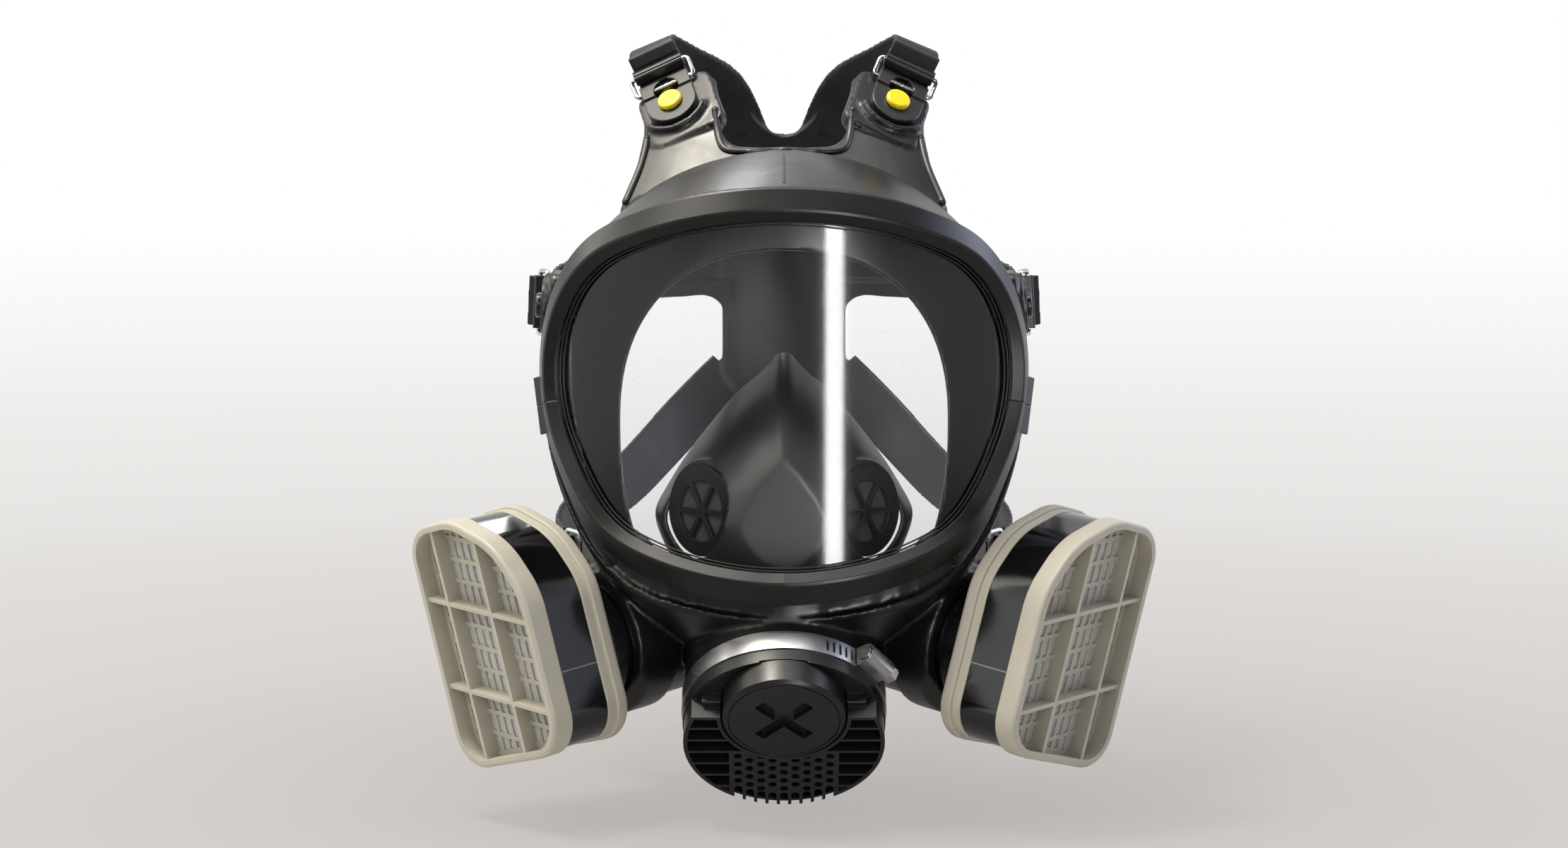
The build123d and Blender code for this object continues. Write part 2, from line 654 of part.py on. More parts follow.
def frame_nuts():
    """Hexagon nuts let into the lower lugs."""
    x, y = screw_line()
    low = LUG_LENGTH - FRAME_NUT_HEIGHT + SEAT_GAP
    height = FRAME_NUT_HEIGHT - 2 * SEAT_GAP
    nut = extrude(Pos(x, y, low) * RegularPolygon(FRAME_NUT_RADIUS, 6), amount=height)
    nut -= cylinder_at(FRAME_SCREW_RADIUS + SEAT_GAP, low - OVERCUT, low + height + OVERCUT, x, y)
    placed = outline_plane(SPLIT_HEADING) * nut
    return [placed.solid(), other_side(placed).solid()]


# ---------------------------------------------------------------- rubber face blank
def rim_profile():
    """Section of the rubber that grips the edge of the lens, before the lens's slot is cut."""
    inner = -FRAME_WIDTH - RIM_OVERLAP
    outer = -FRAME_WALL - 2 * SEAT_GAP
    return [(inner, RIM_EDGE), (inner + RIM_BEVEL, RIM_LIP), (outer, RIM_LIP),
            (outer, -FRAME_DEPTH), (inner, -FRAME_DEPTH)]


def round_the_lens(points):
    """Ring of one section all round the outline, as two lofted halves."""
    flat = make_face(Polyline(*points, close=True))
    half = loft([outline_plane(heading) * flat for heading in even_headings(0.0, 180.0)])
    return half + other_side(half)


def frame_space():
    """Space outside the rubber rim that the frame's outer wall and lugs take."""
    inner = -FRAME_WALL - SEAT_GAP
    outer = LUG_REACH + FRAME_WALL
    back = -FRAME_DEPTH - SEAT_GAP
    return round_the_lens([(inner, back), (outer, back), (outer, FRAME_RISE), (inner, FRAME_RISE)])


def skirt_sections(inset):
    """Faces that the skirt is lofted through, front to back, drawn in by inset."""
    front = symmetric_face(lens_outline(-FRAME_WALL - 2 * SEAT_GAP - inset), -LENS_FRONT - SKIRT_WALL)
    faces = [front]
    for depth, half_width, top, chin in (
        (BROW_DEPTH, BROW_HALF_WIDTH, BROW_TOP, BROW_CHIN),
        (EAR_DEPTH, EAR_HALF_WIDTH, EAR_TOP, EAR_CHIN),
        (NAPE_DEPTH, NAPE_HALF_WIDTH, NAPE_TOP, NAPE_CHIN),
    ):
        points = egg(half_width - inset, top - inset, SKIRT_WIDEST_Z, chin + inset, SKIRT_ROUNDNESS,
                     OUTLINE_STEPS)
        faces.append(symmetric_face(points, depth))
    return faces


def head_cylinder(extra=0.0):
    """Upright cylinder that the sealing edge lies on."""
    return Pos(0, HEAD_AXIS_Y, 0) * Cylinder(SEAL_PLAN_RADIUS + extra, FAR)


def skirt():
    """Rubber wall from the lens back to the face, with its flange, neck and inlet stubs."""
    behind_lens = Pos(0, LENS_AXIS_Y, 0) * Cylinder(LENS_RADIUS - LENS_THICKNESS - SEAT_GAP, FAR)
    outer = (loft(skirt_sections(0.0)) & behind_lens) - head_cylinder() - frame_space()
    cavity = loft(skirt_sections(SKIRT_WALL)) - head_cylinder(SEAL_THICKNESS)
    opening = symmetric_face(egg(SEAL_HALF_WIDTH, SEAL_TOP, SEAL_WIDEST_Z, SEAL_BOTTOM, SEAL_ROUNDNESS,
                                 OUTLINE_STEPS), NEAR)
    inlet = stub() + inlet_collar()
    solid = outer + neck() + inlet + other_side(inlet) + round_the_lens(rim_profile())
    solid -= OUTLET * cylinder_at(NECK_BORE, -NEAR, NECK_END + OVERCUT)
    return solid - cavity - extrude(opening, amount=2 * NEAR)


def tab(name):
    """Rubber tab under one buckle, with the curved guard below its stud."""
    reach = TAB_REACH[name]
    depth = TAB_THICKNESS + TAB_ROOT[name]
    half = BUCKLE_WIDTH / 2 + TAB_MARGIN
    inner = BUCKLE_WIDTH / 2 + TAB_INNER_MARGIN if name == "top" else half
    corners = [(-half, TAB_END), (inner, TAB_END), (inner, -reach), (-half, -reach)]
    flat = make_face(Polyline(*corners, close=True))
    plate = extrude(Pos(0, 0, TAB_FACE - depth) * fillet(flat.vertices(), TAB_ROUNDING), amount=depth)
    ring = tube(GUARD_RADIUS, GUARD_RADIUS - GUARD_WIDTH, TAB_FACE - 0.5, TAB_FACE + GUARD_HEIGHT)
    guard = ring & block(-NEAR, NEAR, -NEAR, -GUARD_START, -NEAR, NEAR)
    return plate + guard


def stud(play=0.0):
    """Button, shank and foot of the stud that a buckle hangs on."""
    foot_top = TAB_FACE - STUD_FOOT_DEPTH
    foot = cylinder_at(STUD_FOOT_RADIUS + play, foot_top - STUD_FOOT_HEIGHT - play, foot_top + play)
    shank = cylinder_at(STUD_RADIUS + play, foot_top - play, RUNNING_GAP)
    head = cylinder_at(STUD_HEAD_RADIUS, RUNNING_GAP, RUNNING_GAP + STUD_HEAD_HEIGHT)
    head = fillet(head.edges().group_by(Axis.Z)[-1], STUD_HEAD_ROUNDING)
    return foot + shank + head


def buckle_space():
    """Space that a buckle and its strap sweep over their tab."""
    slab = block(-SWEEP_HALF_WIDTH, SWEEP_HALF_WIDTH, -SWEEP_BELOW - SEAT_GAP,
                 STRAP_JOIN_RADIUS + ARM_LEAD, TAB_FACE, SWEEP_HEIGHT)
    return slab - cylinder_at(NEAR, TAB_FACE, SWEEP_HEIGHT, 0, -NEAR - SWEEP_BELOW)


def neck():
    """Round rubber neck that the outlet is clamped in."""
    return OUTLET * cylinder_at(NECK_RADIUS, NECK_END - NECK_LENGTH, NECK_END)


def stub():
    """Rubber stub that an inlet is pushed into."""
    end = -INLET_LENGTH - SEAT_GAP
    return INLET * cylinder_at(STUB_RADIUS, end - STUB_LENGTH, end)


def inlet_collar():
    """Rubber that closes the room round an adapter, clear of the frame and of the clamp band."""
    front = -SHOULDER_RING_START - COLLAR_SETBACK
    collar = INLET * cylinder_at(INLET_RADIUS + COLLAR_WALL, -INLET_LENGTH, front)
    clamp_space = OUTLET * cylinder_at(FAR, NECK_END - BAND_WIDTH - COLLAR_SETBACK, FAR)
    return collar - frame_space() - clamp_space


def inlet_space():
    """Bore of an inlet stub and the room of the adapter in front of it."""
    end = -INLET_LENGTH - SEAT_GAP
    front = -SHOULDER_RING_START - COLLAR_SETBACK
    bore = cylinder_at(SOCKET_RADIUS, end - STUB_LENGTH - 1, end + 1)
    bore += cylinder_at(INLET_RADIUS + SEAT_GAP, end, front + OVERCUT)
    return INLET * (bore + cylinder_at(SHOULDER_RING_RADIUS + RUNNING_GAP, front, 0))


def yoke():
    """Rubber over the forehead between the top tabs, with the notch in its upper edge."""
    def at(height, depth):
        radius = YOKE_RADIUS + (YOKE_HEIGHT - height) * tan(lean)
        return radius - depth * cos(lean), height - depth * sin(lean)

    lean = radians(YOKE_LEAN)
    corners = [at(YOKE_FOOT, 0), at(YOKE_TOP, 0)]
    corners += [at(YOKE_TOP, YOKE_THICKNESS), at(YOKE_FOOT, YOKE_THICKNESS)]
    wall = Pos(0, YOKE_AXIS_Y, 0) * revolve(Plane.XZ * make_face(Polyline(*corners, close=True)), Axis.Z)
    left = [(-x, z) for x, z in reversed(YOKE_EDGE)]
    outline = make_face(Polyline(*YOKE_EDGE, *left, close=True))
    low = [(-x, z) for x, z in reversed(YOKE_NOTCH[:-1])]
    notch = make_face(Polyline(*YOKE_NOTCH, *low, close=True))
    corners = [v for v in notch.vertices() if abs(v.Y - YOKE_NOTCH[2][1]) < 1]
    notch = fillet(corners, YOKE_NOTCH_ROUNDING)
    return wall & extrude(upright(YOKE_AXIS_Y) * (outline - notch), amount=FAR)


def face_blank():
    """The rubber facepiece: skirt, lens channel, yoke, neck, inlet stubs and six strap tabs."""
    blank = skirt() + yoke() - lens(SEAT_GAP)
    for name, plane in BUCKLES.items():
        swept = plane * buckle_space()
        blank = blank - swept - other_side(swept)
        fixed = plane * tab(name)
        seat = plane * stud(SEAT_GAP / 2)
        blank = blank + fixed + other_side(fixed) - seat - other_side(seat)
    blank = blank - inlet_space() - other_side(inlet_space())
    return max(blank.solids(), key=lambda solid: solid.volume)


def strap_studs():
    """Six studs with round buttons."""
    studs = []
    for plane in BUCKLES.values():
        placed = plane * stud()
        studs += [placed, other_side(placed)]
    return studs


# ---------------------------------------------------------------- nose cup
def cup_sections(inset):
    """Faces that the nose cup is lofted through, from the face forward."""
    rows = (
        (CUP_REAR - CUP_REAR_RUN_ON, CUP_REAR_HALF_WIDTH, CUP_REAR_TOP, CUP_REAR_BOTTOM),
        (CUP_REAR + CUP_REAR_STEP, CUP_REAR_HALF_WIDTH - 1, CUP_REAR_TOP - 1, CUP_REAR_BOTTOM + 1),
        (CUP_MID, CUP_MID_HALF_WIDTH, CUP_MID_TOP, CUP_MID_BOTTOM),
        (CUP_NOSE - inset, CUP_NOSE_HALF_WIDTH, CUP_NOSE_TOP, CUP_NOSE_BOTTOM),
    )
    faces = []
    for depth, half_width, top, bottom in rows:
        points = egg(half_width - inset, top - inset, CUP_WIDEST_Z, bottom + inset, CUP_ROUNDNESS,
                     above=CUP_BRIDGE_ROUNDNESS)
        faces.append(symmetric_face(points, -depth))
    return faces


def nose_cup():
    """Rubber cup over the nose and mouth, joined to the outlet adapter by a collar."""
    outer = loft(cup_sections(0.0)) - head_cylinder(CUP_FACE_GAP)
    collar = OUTLET * cylinder_at(CUP_COLLAR_RADIUS, -CUP_COLLAR_DEPTH, -ADAPTER_DEPTH + CUP_COLLAR_LAP)
    boss_radius = NOSE_SEAT_RADIUS + CUP_BOSS_WALL
    boss = NOSE_VALVE * cylinder_at(boss_radius, -CUP_BOSS_DEPTH, NOSE_SEAT_THICKNESS / 2)
    cup = outer + boss + other_side(boss) + collar - loft(cup_sections(CUP_WALL))
    cup -= OUTLET * cylinder_at(CUP_BORE_RADIUS, -CUP_COLLAR_DEPTH - OVERCUT,
                                -ADAPTER_DEPTH + CUP_COLLAR_LAP + OVERCUT)
    cup -= OUTLET * cylinder_at(ADAPTER_RADIUS + 1, -ADAPTER_DEPTH - 0.5, NECK_END) \
        - OUTLET * cylinder_at(CUP_COLLAR_RADIUS, -CUP_COLLAR_DEPTH - 1, NECK_END)
    flange_back = NOSE_SEAT_THICKNESS - NOSE_FLANGE_THICKNESS - SEAT_GAP
    hole = NOSE_VALVE * (cylinder_at(NOSE_BODY_RADIUS + SEAT_GAP, -NOSE_HOLE_DEPTH, NOSE_HOLE_FRONT)
                         + cylinder_at(NOSE_SEAT_RADIUS + SEAT_GAP, flange_back, NOSE_HOLE_FRONT))
    stub_space = INLET * cylinder_at(STUB_RADIUS + RUNNING_GAP, -INLET_LENGTH - STUB_LENGTH - 1, 0)
    return (cup & inside_skirt()) - hole - other_side(hole) - stub_space - other_side(stub_space)


def inside_skirt():
    """Room inside the facepiece, its sealing flange and its neck, less a running gap."""
    room = loft(skirt_sections(SKIRT_WALL + RUNNING_GAP)) - head_cylinder(SEAL_THICKNESS + RUNNING_GAP)
    opening = symmetric_face(egg(SEAL_HALF_WIDTH - RUNNING_GAP, SEAL_TOP - RUNNING_GAP, SEAL_WIDEST_Z,
                                 SEAL_BOTTOM + RUNNING_GAP, SEAL_ROUNDNESS, OUTLINE_STEPS), NEAR)
    room += OUTLET * cylinder_at(NECK_BORE - RUNNING_GAP, -NEAR, NECK_END)
    return room + extrude(opening, amount=2 * NEAR)


def nose_valve_seat():
    """Ring with spokes that an inhalation flap closes on, on the -X side."""
    front = NOSE_SEAT_THICKNESS
    ring = tube(NOSE_BODY_RADIUS, NOSE_SEAT_BORE, -NOSE_SEAT_THICKNESS, front)
    ring += tube(NOSE_SEAT_RADIUS, NOSE_SEAT_BORE, front - NOSE_FLANGE_THICKNESS, front)
    ring += spokes(NOSE_SEAT_BORE + SPOKE_BITE, front - SPOKE_THICKNESS, front)
    ring += tube(NOSE_SEAT_BORE + SPOKE_BITE, NOSE_SEAT_BORE - NOSE_LEDGE, front - SPOKE_THICKNESS, front)
    return NOSE_VALVE * ring


def nose_valve_flap():
    """Rubber disc behind the spokes of a nose valve, on the -X side."""
    back = NOSE_SEAT_THICKNESS - SPOKE_THICKNESS - SEAT_GAP
    return NOSE_VALVE * cylinder_at(NOSE_SEAT_BORE - FLAP_EDGE, back - FLAP_THICKNESS, back)


# ---------------------------------------------------------------- inlets
def inlet_adapter():
    """Tube between the facepiece and a cartridge, with a bayonet, on the -X side."""
    end = -GASKET_THICKNESS
    body = cylinder_at(INLET_RADIUS, -INLET_LENGTH, end)
    body += cylinder_at(INLET_SPIGOT_RADIUS, -INLET_LENGTH - INLET_SPIGOT_LENGTH, -INLET_LENGTH)
    body = chamfer(body.edges().group_by(Axis.Z)[0], SPIGOT_CHAMFER)
    body += cylinder_at(SHOULDER_RING_RADIUS, -SHOULDER_RING_START,
                        -SHOULDER_RING_START + SHOULDER_RING_LENGTH)
    latch = block(-LATCH_HALF_WIDTH, LATCH_HALF_WIDTH,
                  -SHOULDER_RING_RADIUS - LATCH_REACH, -INLET_RADIUS + OVERCUT,
                  -SHOULDER_RING_START - LATCH_OVERRUN, end - GASKET_THICKNESS)
    body += fillet(latch.edges().filter_by(Axis.Z), LATCH_ROUNDING)
    body += cylinder_at(BAYONET_RADIUS, end, BAYONET_LENGTH)
    lug_start = CARTRIDGE_REAR_THICKNESS + RUNNING_GAP
    body += bayonet_lugs(BAYONET_LUG_ANGLE, BAYONET_RADIUS + BAYONET_LUG_REACH, lug_start,
                         lug_start + BAYONET_LUG_HEIGHT, 0.0)
    body -= cylinder_at(INLET_BORE_RADIUS, -INLET_LENGTH - INLET_SPIGOT_LENGTH - OVERCUT,
                        BAYONET_LENGTH + OVERCUT)
    body += spokes(INLET_BORE_RADIUS + SPOKE_BITE, -INLET_LENGTH, -INLET_LENGTH + SPOKE_THICKNESS)
    return INLET * body


def bayonet_lugs(width, radius, start, end, turn):
    """Bayonet sectors, each width degrees wide."""
    lugs = None
    for i in range(BAYONET_LUG_COUNT):
        half = width / 2
        points = [(0, 0)]
        points += [(2 * radius * cos(radians(a)), 2 * radius * sin(radians(a))) for a in (-half, half)]
        wedge = extrude(Pos(0, 0, start) * make_face(Polyline(*points, close=True)), amount=end - start)
        wedge = wedge & cylinder_at(radius, start, end)
        sector = Rot(0, 0, 360.0 / BAYONET_LUG_COUNT * i + turn + 90) * wedge
        lugs = sector if lugs is None else lugs + sector
    return lugs


def inlet_gasket():
    """Flat ring that a cartridge presses on, on the -X side."""
    outer = INLET_RADIUS - INLET_GASKET_INSET
    return INLET * tube(outer, BAYONET_RADIUS + RUNNING_GAP, -GASKET_THICKNESS, -SEAT_GAP)


def inlet_flap():
    """Inhalation flap inside an inlet, on the -X side."""
    back = -INLET_LENGTH - SEAT_GAP
    return INLET * cylinder_at(INLET_BORE_RADIUS - INLET_FLAP_EDGE, back - FLAP_THICKNESS, back)


# ---------------------------------------------------------------- cartridges
def cartridge_face(grow=0.0):
    """Outline of a cartridge: six corners, with a long bent slope down the inner side."""
    corners = [
        (-CARTRIDGE_OUTER, CARTRIDGE_ABOVE),
        (CARTRIDGE_TOP_END, CARTRIDGE_ABOVE),
        (CARTRIDGE_SLOPE_X, CARTRIDGE_SLOPE_Y),
        (CARTRIDGE_INNER, CARTRIDGE_SLOPE_FOOT),
        (CARTRIDGE_INNER, -CARTRIDGE_BELOW),
        (-CARTRIDGE_OUTER, -CARTRIDGE_BELOW),
    ]
    flat = make_face(Polyline(*corners, close=True))
    for (x, y), radius in zip(corners, CARTRIDGE_CORNERS):
        flat = fillet(flat.vertices().sort_by_distance((x, y, 0))[0], radius)
    return offset(flat, amount=grow) if grow else flat


def cartridge_slab(grow, start, end):
    """Outline of a cartridge grown by an amount, between two depths."""
    return extrude(Pos(0, 0, start) * cartridge_face(grow), amount=end - start)


def cartridge_shell():
    """Rear half of a cartridge with its bayonet socket, on the -X side."""
    end = CARTRIDGE_COVER_START
    flange = cartridge_slab(CARTRIDGE_FLANGE_REACH, 0.0, CARTRIDGE_FLANGE_LENGTH)
    flange = fillet(flange.edges().group_by(Axis.Z)[0], CARTRIDGE_REAR_ROUNDING)
    flange = fillet(flange.edges().group_by(Axis.Z)[-1], CARTRIDGE_FLANGE_ROUNDING)
    step = cartridge_slab(CARTRIDGE_STEP_REACH, CARTRIDGE_FLANGE_LENGTH - 1, CARTRIDGE_STEP_LENGTH)
    step = fillet(step.edges().group_by(Axis.Z)[-1], CARTRIDGE_STEP_ROUNDING)
    body = flange + step + cartridge_slab(0.0, CARTRIDGE_FLANGE_LENGTH - 1, end)
    body -= cartridge_slab(-CARTRIDGE_WALL, CARTRIDGE_REAR_THICKNESS, end + 1)
    socket = BAYONET_RADIUS + RUNNING_GAP
    body -= cylinder_at(socket, -1, CARTRIDGE_REAR_THICKNESS + 1)
    reach = BAYONET_RADIUS + BAYONET_LUG_REACH + RUNNING_GAP
    body -= bayonet_lugs(BAYONET_LUG_ANGLE + BAYONET_PLAY, reach, -1, CARTRIDGE_REAR_THICKNESS + 1,
                         -BAYONET_TURN - CARTRIDGE_ROLL)
    return CARTRIDGE * body


def cartridge_cover():
    """Front half of a cartridge: rounded rim, recessed grille and ribs, on the -X side."""
    start = CARTRIDGE_COVER_START + SEAT_GAP
    body = cartridge_slab(CARTRIDGE_RIM_REACH, start, CARTRIDGE_DEPTH)
    body = fillet(body.edges().group_by(Axis.Z)[-1], CARTRIDGE_RIM_ROUNDING)
    body = fillet(body.edges().group_by(Axis.Z)[0], CARTRIDGE_RIM_ROUNDING / 2)
    inside = CARTRIDGE_RIM_REACH - CARTRIDGE_RIM_WIDTH
    floor = CARTRIDGE_DEPTH - CARTRIDGE_RECESS
    body -= cartridge_slab(inside, floor, CARTRIDGE_DEPTH + 1)
    body -= cartridge_slots(floor)
    long_rib = Rectangle(RIB_THICKNESS, FAR)
    cross_rib = Rectangle(FAR, RIB_THICKNESS)
    grid = Sketch() + [Pos(x, 0) * long_rib for x in RIB_X]
    grid = grid + [Pos(0, y) * Rot(0, 0, RIB_SLANT) * cross_rib for y in RIB_Y]
    height = CARTRIDGE_RECESS - RIB_SETBACK + 0.5
    ribs = extrude(Pos(0, 0, floor - 0.5) * (grid & cartridge_face(inside + 0.5)), amount=height)
    return CARTRIDGE * (body + ribs)


def cartridge_slots(floor):
    """Leaning rows of small slots through the grille, inside the recess."""
    inside = cartridge_face(CARTRIDGE_RIM_REACH - CARTRIDGE_RIM_WIDTH - GRILLE_MARGIN)
    pitch_x = (RIB_X[1] - RIB_X[0]) / COLUMNS_PER_BAY
    pitch_y = (RIB_Y[1] - RIB_Y[0]) / ROWS_PER_BAY
    lean = tan(radians(RIB_SLANT))
    bars = Sketch()
    for i in range(-COLUMNS_PER_BAY, 2 * COLUMNS_PER_BAY):
        bars += Pos(RIB_X[0] + i * pitch_x, 0) * Rectangle(SLOT_BAR_X, FAR)
    for j in range(-ROWS_PER_BAY, 3 * ROWS_PER_BAY):
        middle = RIB_Y[0] + j * pitch_y
        ends = [(x, middle + x * lean + side * SLOT_BAR_Y / 2)
                for side in (-1, 1) for x in (-side * 2 * CARTRIDGE_ABOVE, side * 2 * CARTRIDGE_ABOVE)]
        bars += make_face(Polyline(*ends, close=True))
    return extrude(Pos(0, 0, CARTRIDGE_COVER_START - 1) * (inside - bars),
                   amount=floor - CARTRIDGE_COVER_START + 2)


def cartridge_label():
    """Bare printed sleeve round the side of a cartridge, on the -X side."""
    start = CARTRIDGE_STEP_LENGTH + SEAT_GAP
    end = CARTRIDGE_COVER_START
    sleeve = cartridge_slab(SEAT_GAP / 2 + LABEL_THICKNESS, start, end)
    sleeve -= cartridge_slab(SEAT_GAP / 2, start - 1, end + 1)
    sleeve -= block(0, FAR, LABEL_SEAM, LABEL_SEAM + LABEL_GAP, start - 1, end + 1)
    return CARTRIDGE * sleeve


def cartridge_media():
    """Sorbent bed behind the grille, on the -X side."""
    start = BAYONET_LENGTH + RUNNING_GAP + 1
    return CARTRIDGE * cartridge_slab(-CARTRIDGE_WALL - SEAT_GAP, start, CARTRIDGE_COVER_START)


# ---------------------------------------------------------------- outlet
def center_adapter():
    """Plastic core of the outlet: speaking port above, exhalation valve seat below."""
    body = cylinder_at(ADAPTER_RADIUS, -ADAPTER_DEPTH, NECK_END)
    body = chamfer(body.edges().group_by(Axis.Z)[0], ADAPTER_CHAMFER)
    web_end = WEB_START + WEB_THICKNESS
    body -= cylinder_at(ADAPTER_BORE, -ADAPTER_DEPTH - 1, WEB_START)
    body -= cylinder_at(ADAPTER_BORE, web_end, NECK_END + 1)
    body += cylinder_at(PORT_RADIUS, WEB_START, PORT_TUBE_END, 0, PORT_OFFSET)
    body -= cylinder_at(PORT_BORE_RADIUS, WEB_START - 1, PORT_TUBE_END + 1, 0, PORT_OFFSET)
    seat_top = web_end + EXHALE_SEAT_HEIGHT
    body += cylinder_at(EXHALE_SEAT_RADIUS, WEB_START, seat_top, 0, -EXHALE_OFFSET)
    body -= cylinder_at(EXHALE_BORE_RADIUS, WEB_START - 1, seat_top + 1, 0, -EXHALE_OFFSET)
    body += Pos(0, -EXHALE_OFFSET, 0) * spokes(EXHALE_BORE_RADIUS + SPOKE_BITE, WEB_START,
                                              WEB_START + SPOKE_THICKNESS)
    return OUTLET * body


def exhalation_flap():
    """Flap that lets breath out through the lower valve."""
    start = WEB_START + WEB_THICKNESS + EXHALE_SEAT_HEIGHT + SEAT_GAP
    radius = EXHALE_SEAT_RADIUS - FLAP_EDGE
    return OUTLET * cylinder_at(radius, start, start + FLAP_THICKNESS, 0, -EXHALE_OFFSET)


def honeycomb():
    """Sketch of the hex-packed holes and the open arches along the lower edge."""
    column_pitch = HOLE_PITCH * cos(radians(30))
    columns = int((PANEL_HALF_WIDTH - HOLE_RADIUS) / column_pitch)
    edge = COVER_RADIUS - COVER_WALL
    cuts = []
    for i in range(-columns, columns + 1):
        x = i * column_pitch
        stagger = HOLE_PITCH / 2 if i % 2 else 0.0
        lowest = sqrt(edge ** 2 - x ** 2) - ARCH_INSET
        w = -PANEL_TOP + HOLE_RADIUS + HOLE_MARGIN + stagger
        while w + HOLE_RADIUS + HOLE_ARCH_GAP < lowest:
            cuts.append(Pos(x, -w) * Circle(HOLE_RADIUS))
            w += HOLE_PITCH
        cuts.append(Pos(x, -lowest) * Circle(HOLE_RADIUS))
        cuts.append(Pos(x, -lowest - ARCH_LENGTH) * Rectangle(2 * HOLE_RADIUS, 2 * ARCH_LENGTH))
    return Sketch() + cuts


def outlet_cover():
    """Cover of the outlet: open recess round the port, louvred hood and honeycomb below it."""
    start = NECK_END + SEAT_GAP
    inner = COVER_RADIUS - COVER_WALL
    floor_back = COVER_FLOOR - COVER_FLOOR_THICKNESS
    body = tube(COVER_RIM_RADIUS, inner, start, COVER_FLOOR + COVER_LIP)
    body += cylinder_at(inner + WALL_BITE, floor_back, COVER_FLOOR) & block(-NEAR, NEAR, 0, NEAR, 0, NEAR)
    below = block(-NEAR, NEAR, -NEAR, COVER_STEP, -NEAR, NEAR)
    hood = tube(COVER_RADIUS, inner, start, COVER_FRONT)
    plate_back = COVER_FRONT - COVER_PLATE
    hood += cylinder_at(COVER_RADIUS - PLATE_EDGE, plate_back, COVER_FRONT)
    body += hood & below
    count = int((FIRST_FIN + inner) / FIN_PITCH) + 1
    fin = Rectangle(2 * NEAR, FIN_THICKNESS)
    fins = Sketch() + [Pos(0, FIRST_FIN - i * FIN_PITCH) * fin for i in range(count)]
    below_wall = Pos(0, COVER_STEP - COVER_WALL - NEAR) * Rectangle(2 * NEAR, 2 * NEAR)
    panel = Pos(0, PANEL_TOP - NEAR) * Rectangle(2 * PANEL_HALF_WIDTH, 2 * NEAR)
    gaps = (Circle(inner) & below_wall) - fins - panel
    body -= extrude(Pos(0, 0, plate_back - OVERCUT) * gaps, amount=COVER_PLATE + 2 * OVERCUT)
    deep = (fins & Circle(inner + WALL_BITE)) - panel
    body += extrude(Pos(0, 0, COVER_FRONT - FIN_DEPTH) * deep, amount=FIN_DEPTH - SEAT_GAP)
    wall = block(-NEAR, NEAR, COVER_STEP - COVER_WALL, COVER_STEP, COVER_FLOOR - 1, COVER_FRONT)
    body += wall & cylinder_at(inner + WALL_BITE, 0, NEAR)
    body -= extrude(Pos(0, 0, plate_back - FIN_DEPTH) * honeycomb(), amount=FIN_DEPTH + COVER_PLATE + 1)
    for side in (-1, 1):
        latch = block(-LATCH_WIDTH / 2, LATCH_WIDTH / 2, COVER_STEP - WALL_BITE, COVER_STEP + LATCH_DEPTH,
                      COVER_FLOOR - OVERCUT, COVER_FLOOR + LATCH_HEIGHT)
        body += Pos(side * LATCH_OFFSET, 0, 0) * fillet(latch.edges().group_by(Axis.Z)[-1], LATCH_EDGE)
    clear = CAP_RADIUS + 2 * RUNNING_GAP
    surround = tube(clear + PORT_WALL, clear - WALL_BITE, COVER_FLOOR - OVERCUT, COVER_FRONT, 0, PORT_OFFSET)
    body += surround & below & cylinder_at(inner + RUNNING_GAP, 0, NEAR)
    body -= cylinder_at(clear, COVER_FLOOR, COVER_FRONT + 1, 0, PORT_OFFSET)
    body -= cylinder_at(PORT_RADIUS + SEAT_GAP, 0, COVER_FRONT, 0, PORT_OFFSET)
    return OUTLET * body


def port_cap():
    """Screw cap of the port, with a cross-shaped key recess."""
    body = cylinder_at(CAP_RADIUS, CAP_BASE, CAP_FRONT)
    body = chamfer(body.edges().group_by(Axis.Z)[-1], CAP_CHAMFER)
    body -= tube(CAP_FACE_RADIUS + CAP_RING_WIDTH, CAP_FACE_RADIUS, CAP_FRONT - CAP_RING_DEPTH,
                 CAP_FRONT + OVERCUT)
    body -= cylinder_at(PORT_RADIUS + RUNNING_GAP, CAP_BASE - 1, PORT_TUBE_END + GASKET_THICKNESS)
    bar = RectangleRounded(CROSS_LENGTH, CROSS_WIDTH, CROSS_ROUNDING)
    arm = extrude(Pos(0, 0, CAP_FRONT - CROSS_DEPTH) * bar, amount=CROSS_DEPTH + OVERCUT)
    body -= Rot(0, 0, 45) * arm + Rot(0, 0, -45) * arm
    return OUTLET * (Pos(0, PORT_OFFSET, 0) * body)


def cap_gasket():
    """Flat ring held in the cap, which it presses on the port's rim."""
    return OUTLET * tube(PORT_RADIUS, PORT_BORE_RADIUS, PORT_TUBE_END + SEAT_GAP,
                         PORT_TUBE_END + GASKET_THICKNESS - SEAT_GAP, 0, PORT_OFFSET)


def clamp_band():
    """Worm-drive steel band round the neck."""
    inner = NECK_RADIUS + SEAT_GAP
    start = NECK_END - BAND_WIDTH
    band = tube(inner + BAND_THICKNESS, inner, start, NECK_END)
    middle = start + BAND_WIDTH / 2
    first = HOUSING_ANGLE + degrees((HOUSING_LENGTH / 2 + HOUSING_LEAD) / NECK_RADIUS)
    for i in range(BAND_SLOT_COUNT):
        angle = first + degrees(i * BAND_SLOT_PITCH / NECK_RADIUS)
        slot = block(NECK_RADIUS - OVERCUT, inner + BAND_THICKNESS + OVERCUT,
                     -BAND_SLOT_WIDTH / 2, BAND_SLOT_WIDTH / 2,
                     middle - BAND_SLOT_LENGTH / 2, middle + BAND_SLOT_LENGTH / 2)
        band -= Rot(0, 0, angle) * slot
    return OUTLET * band


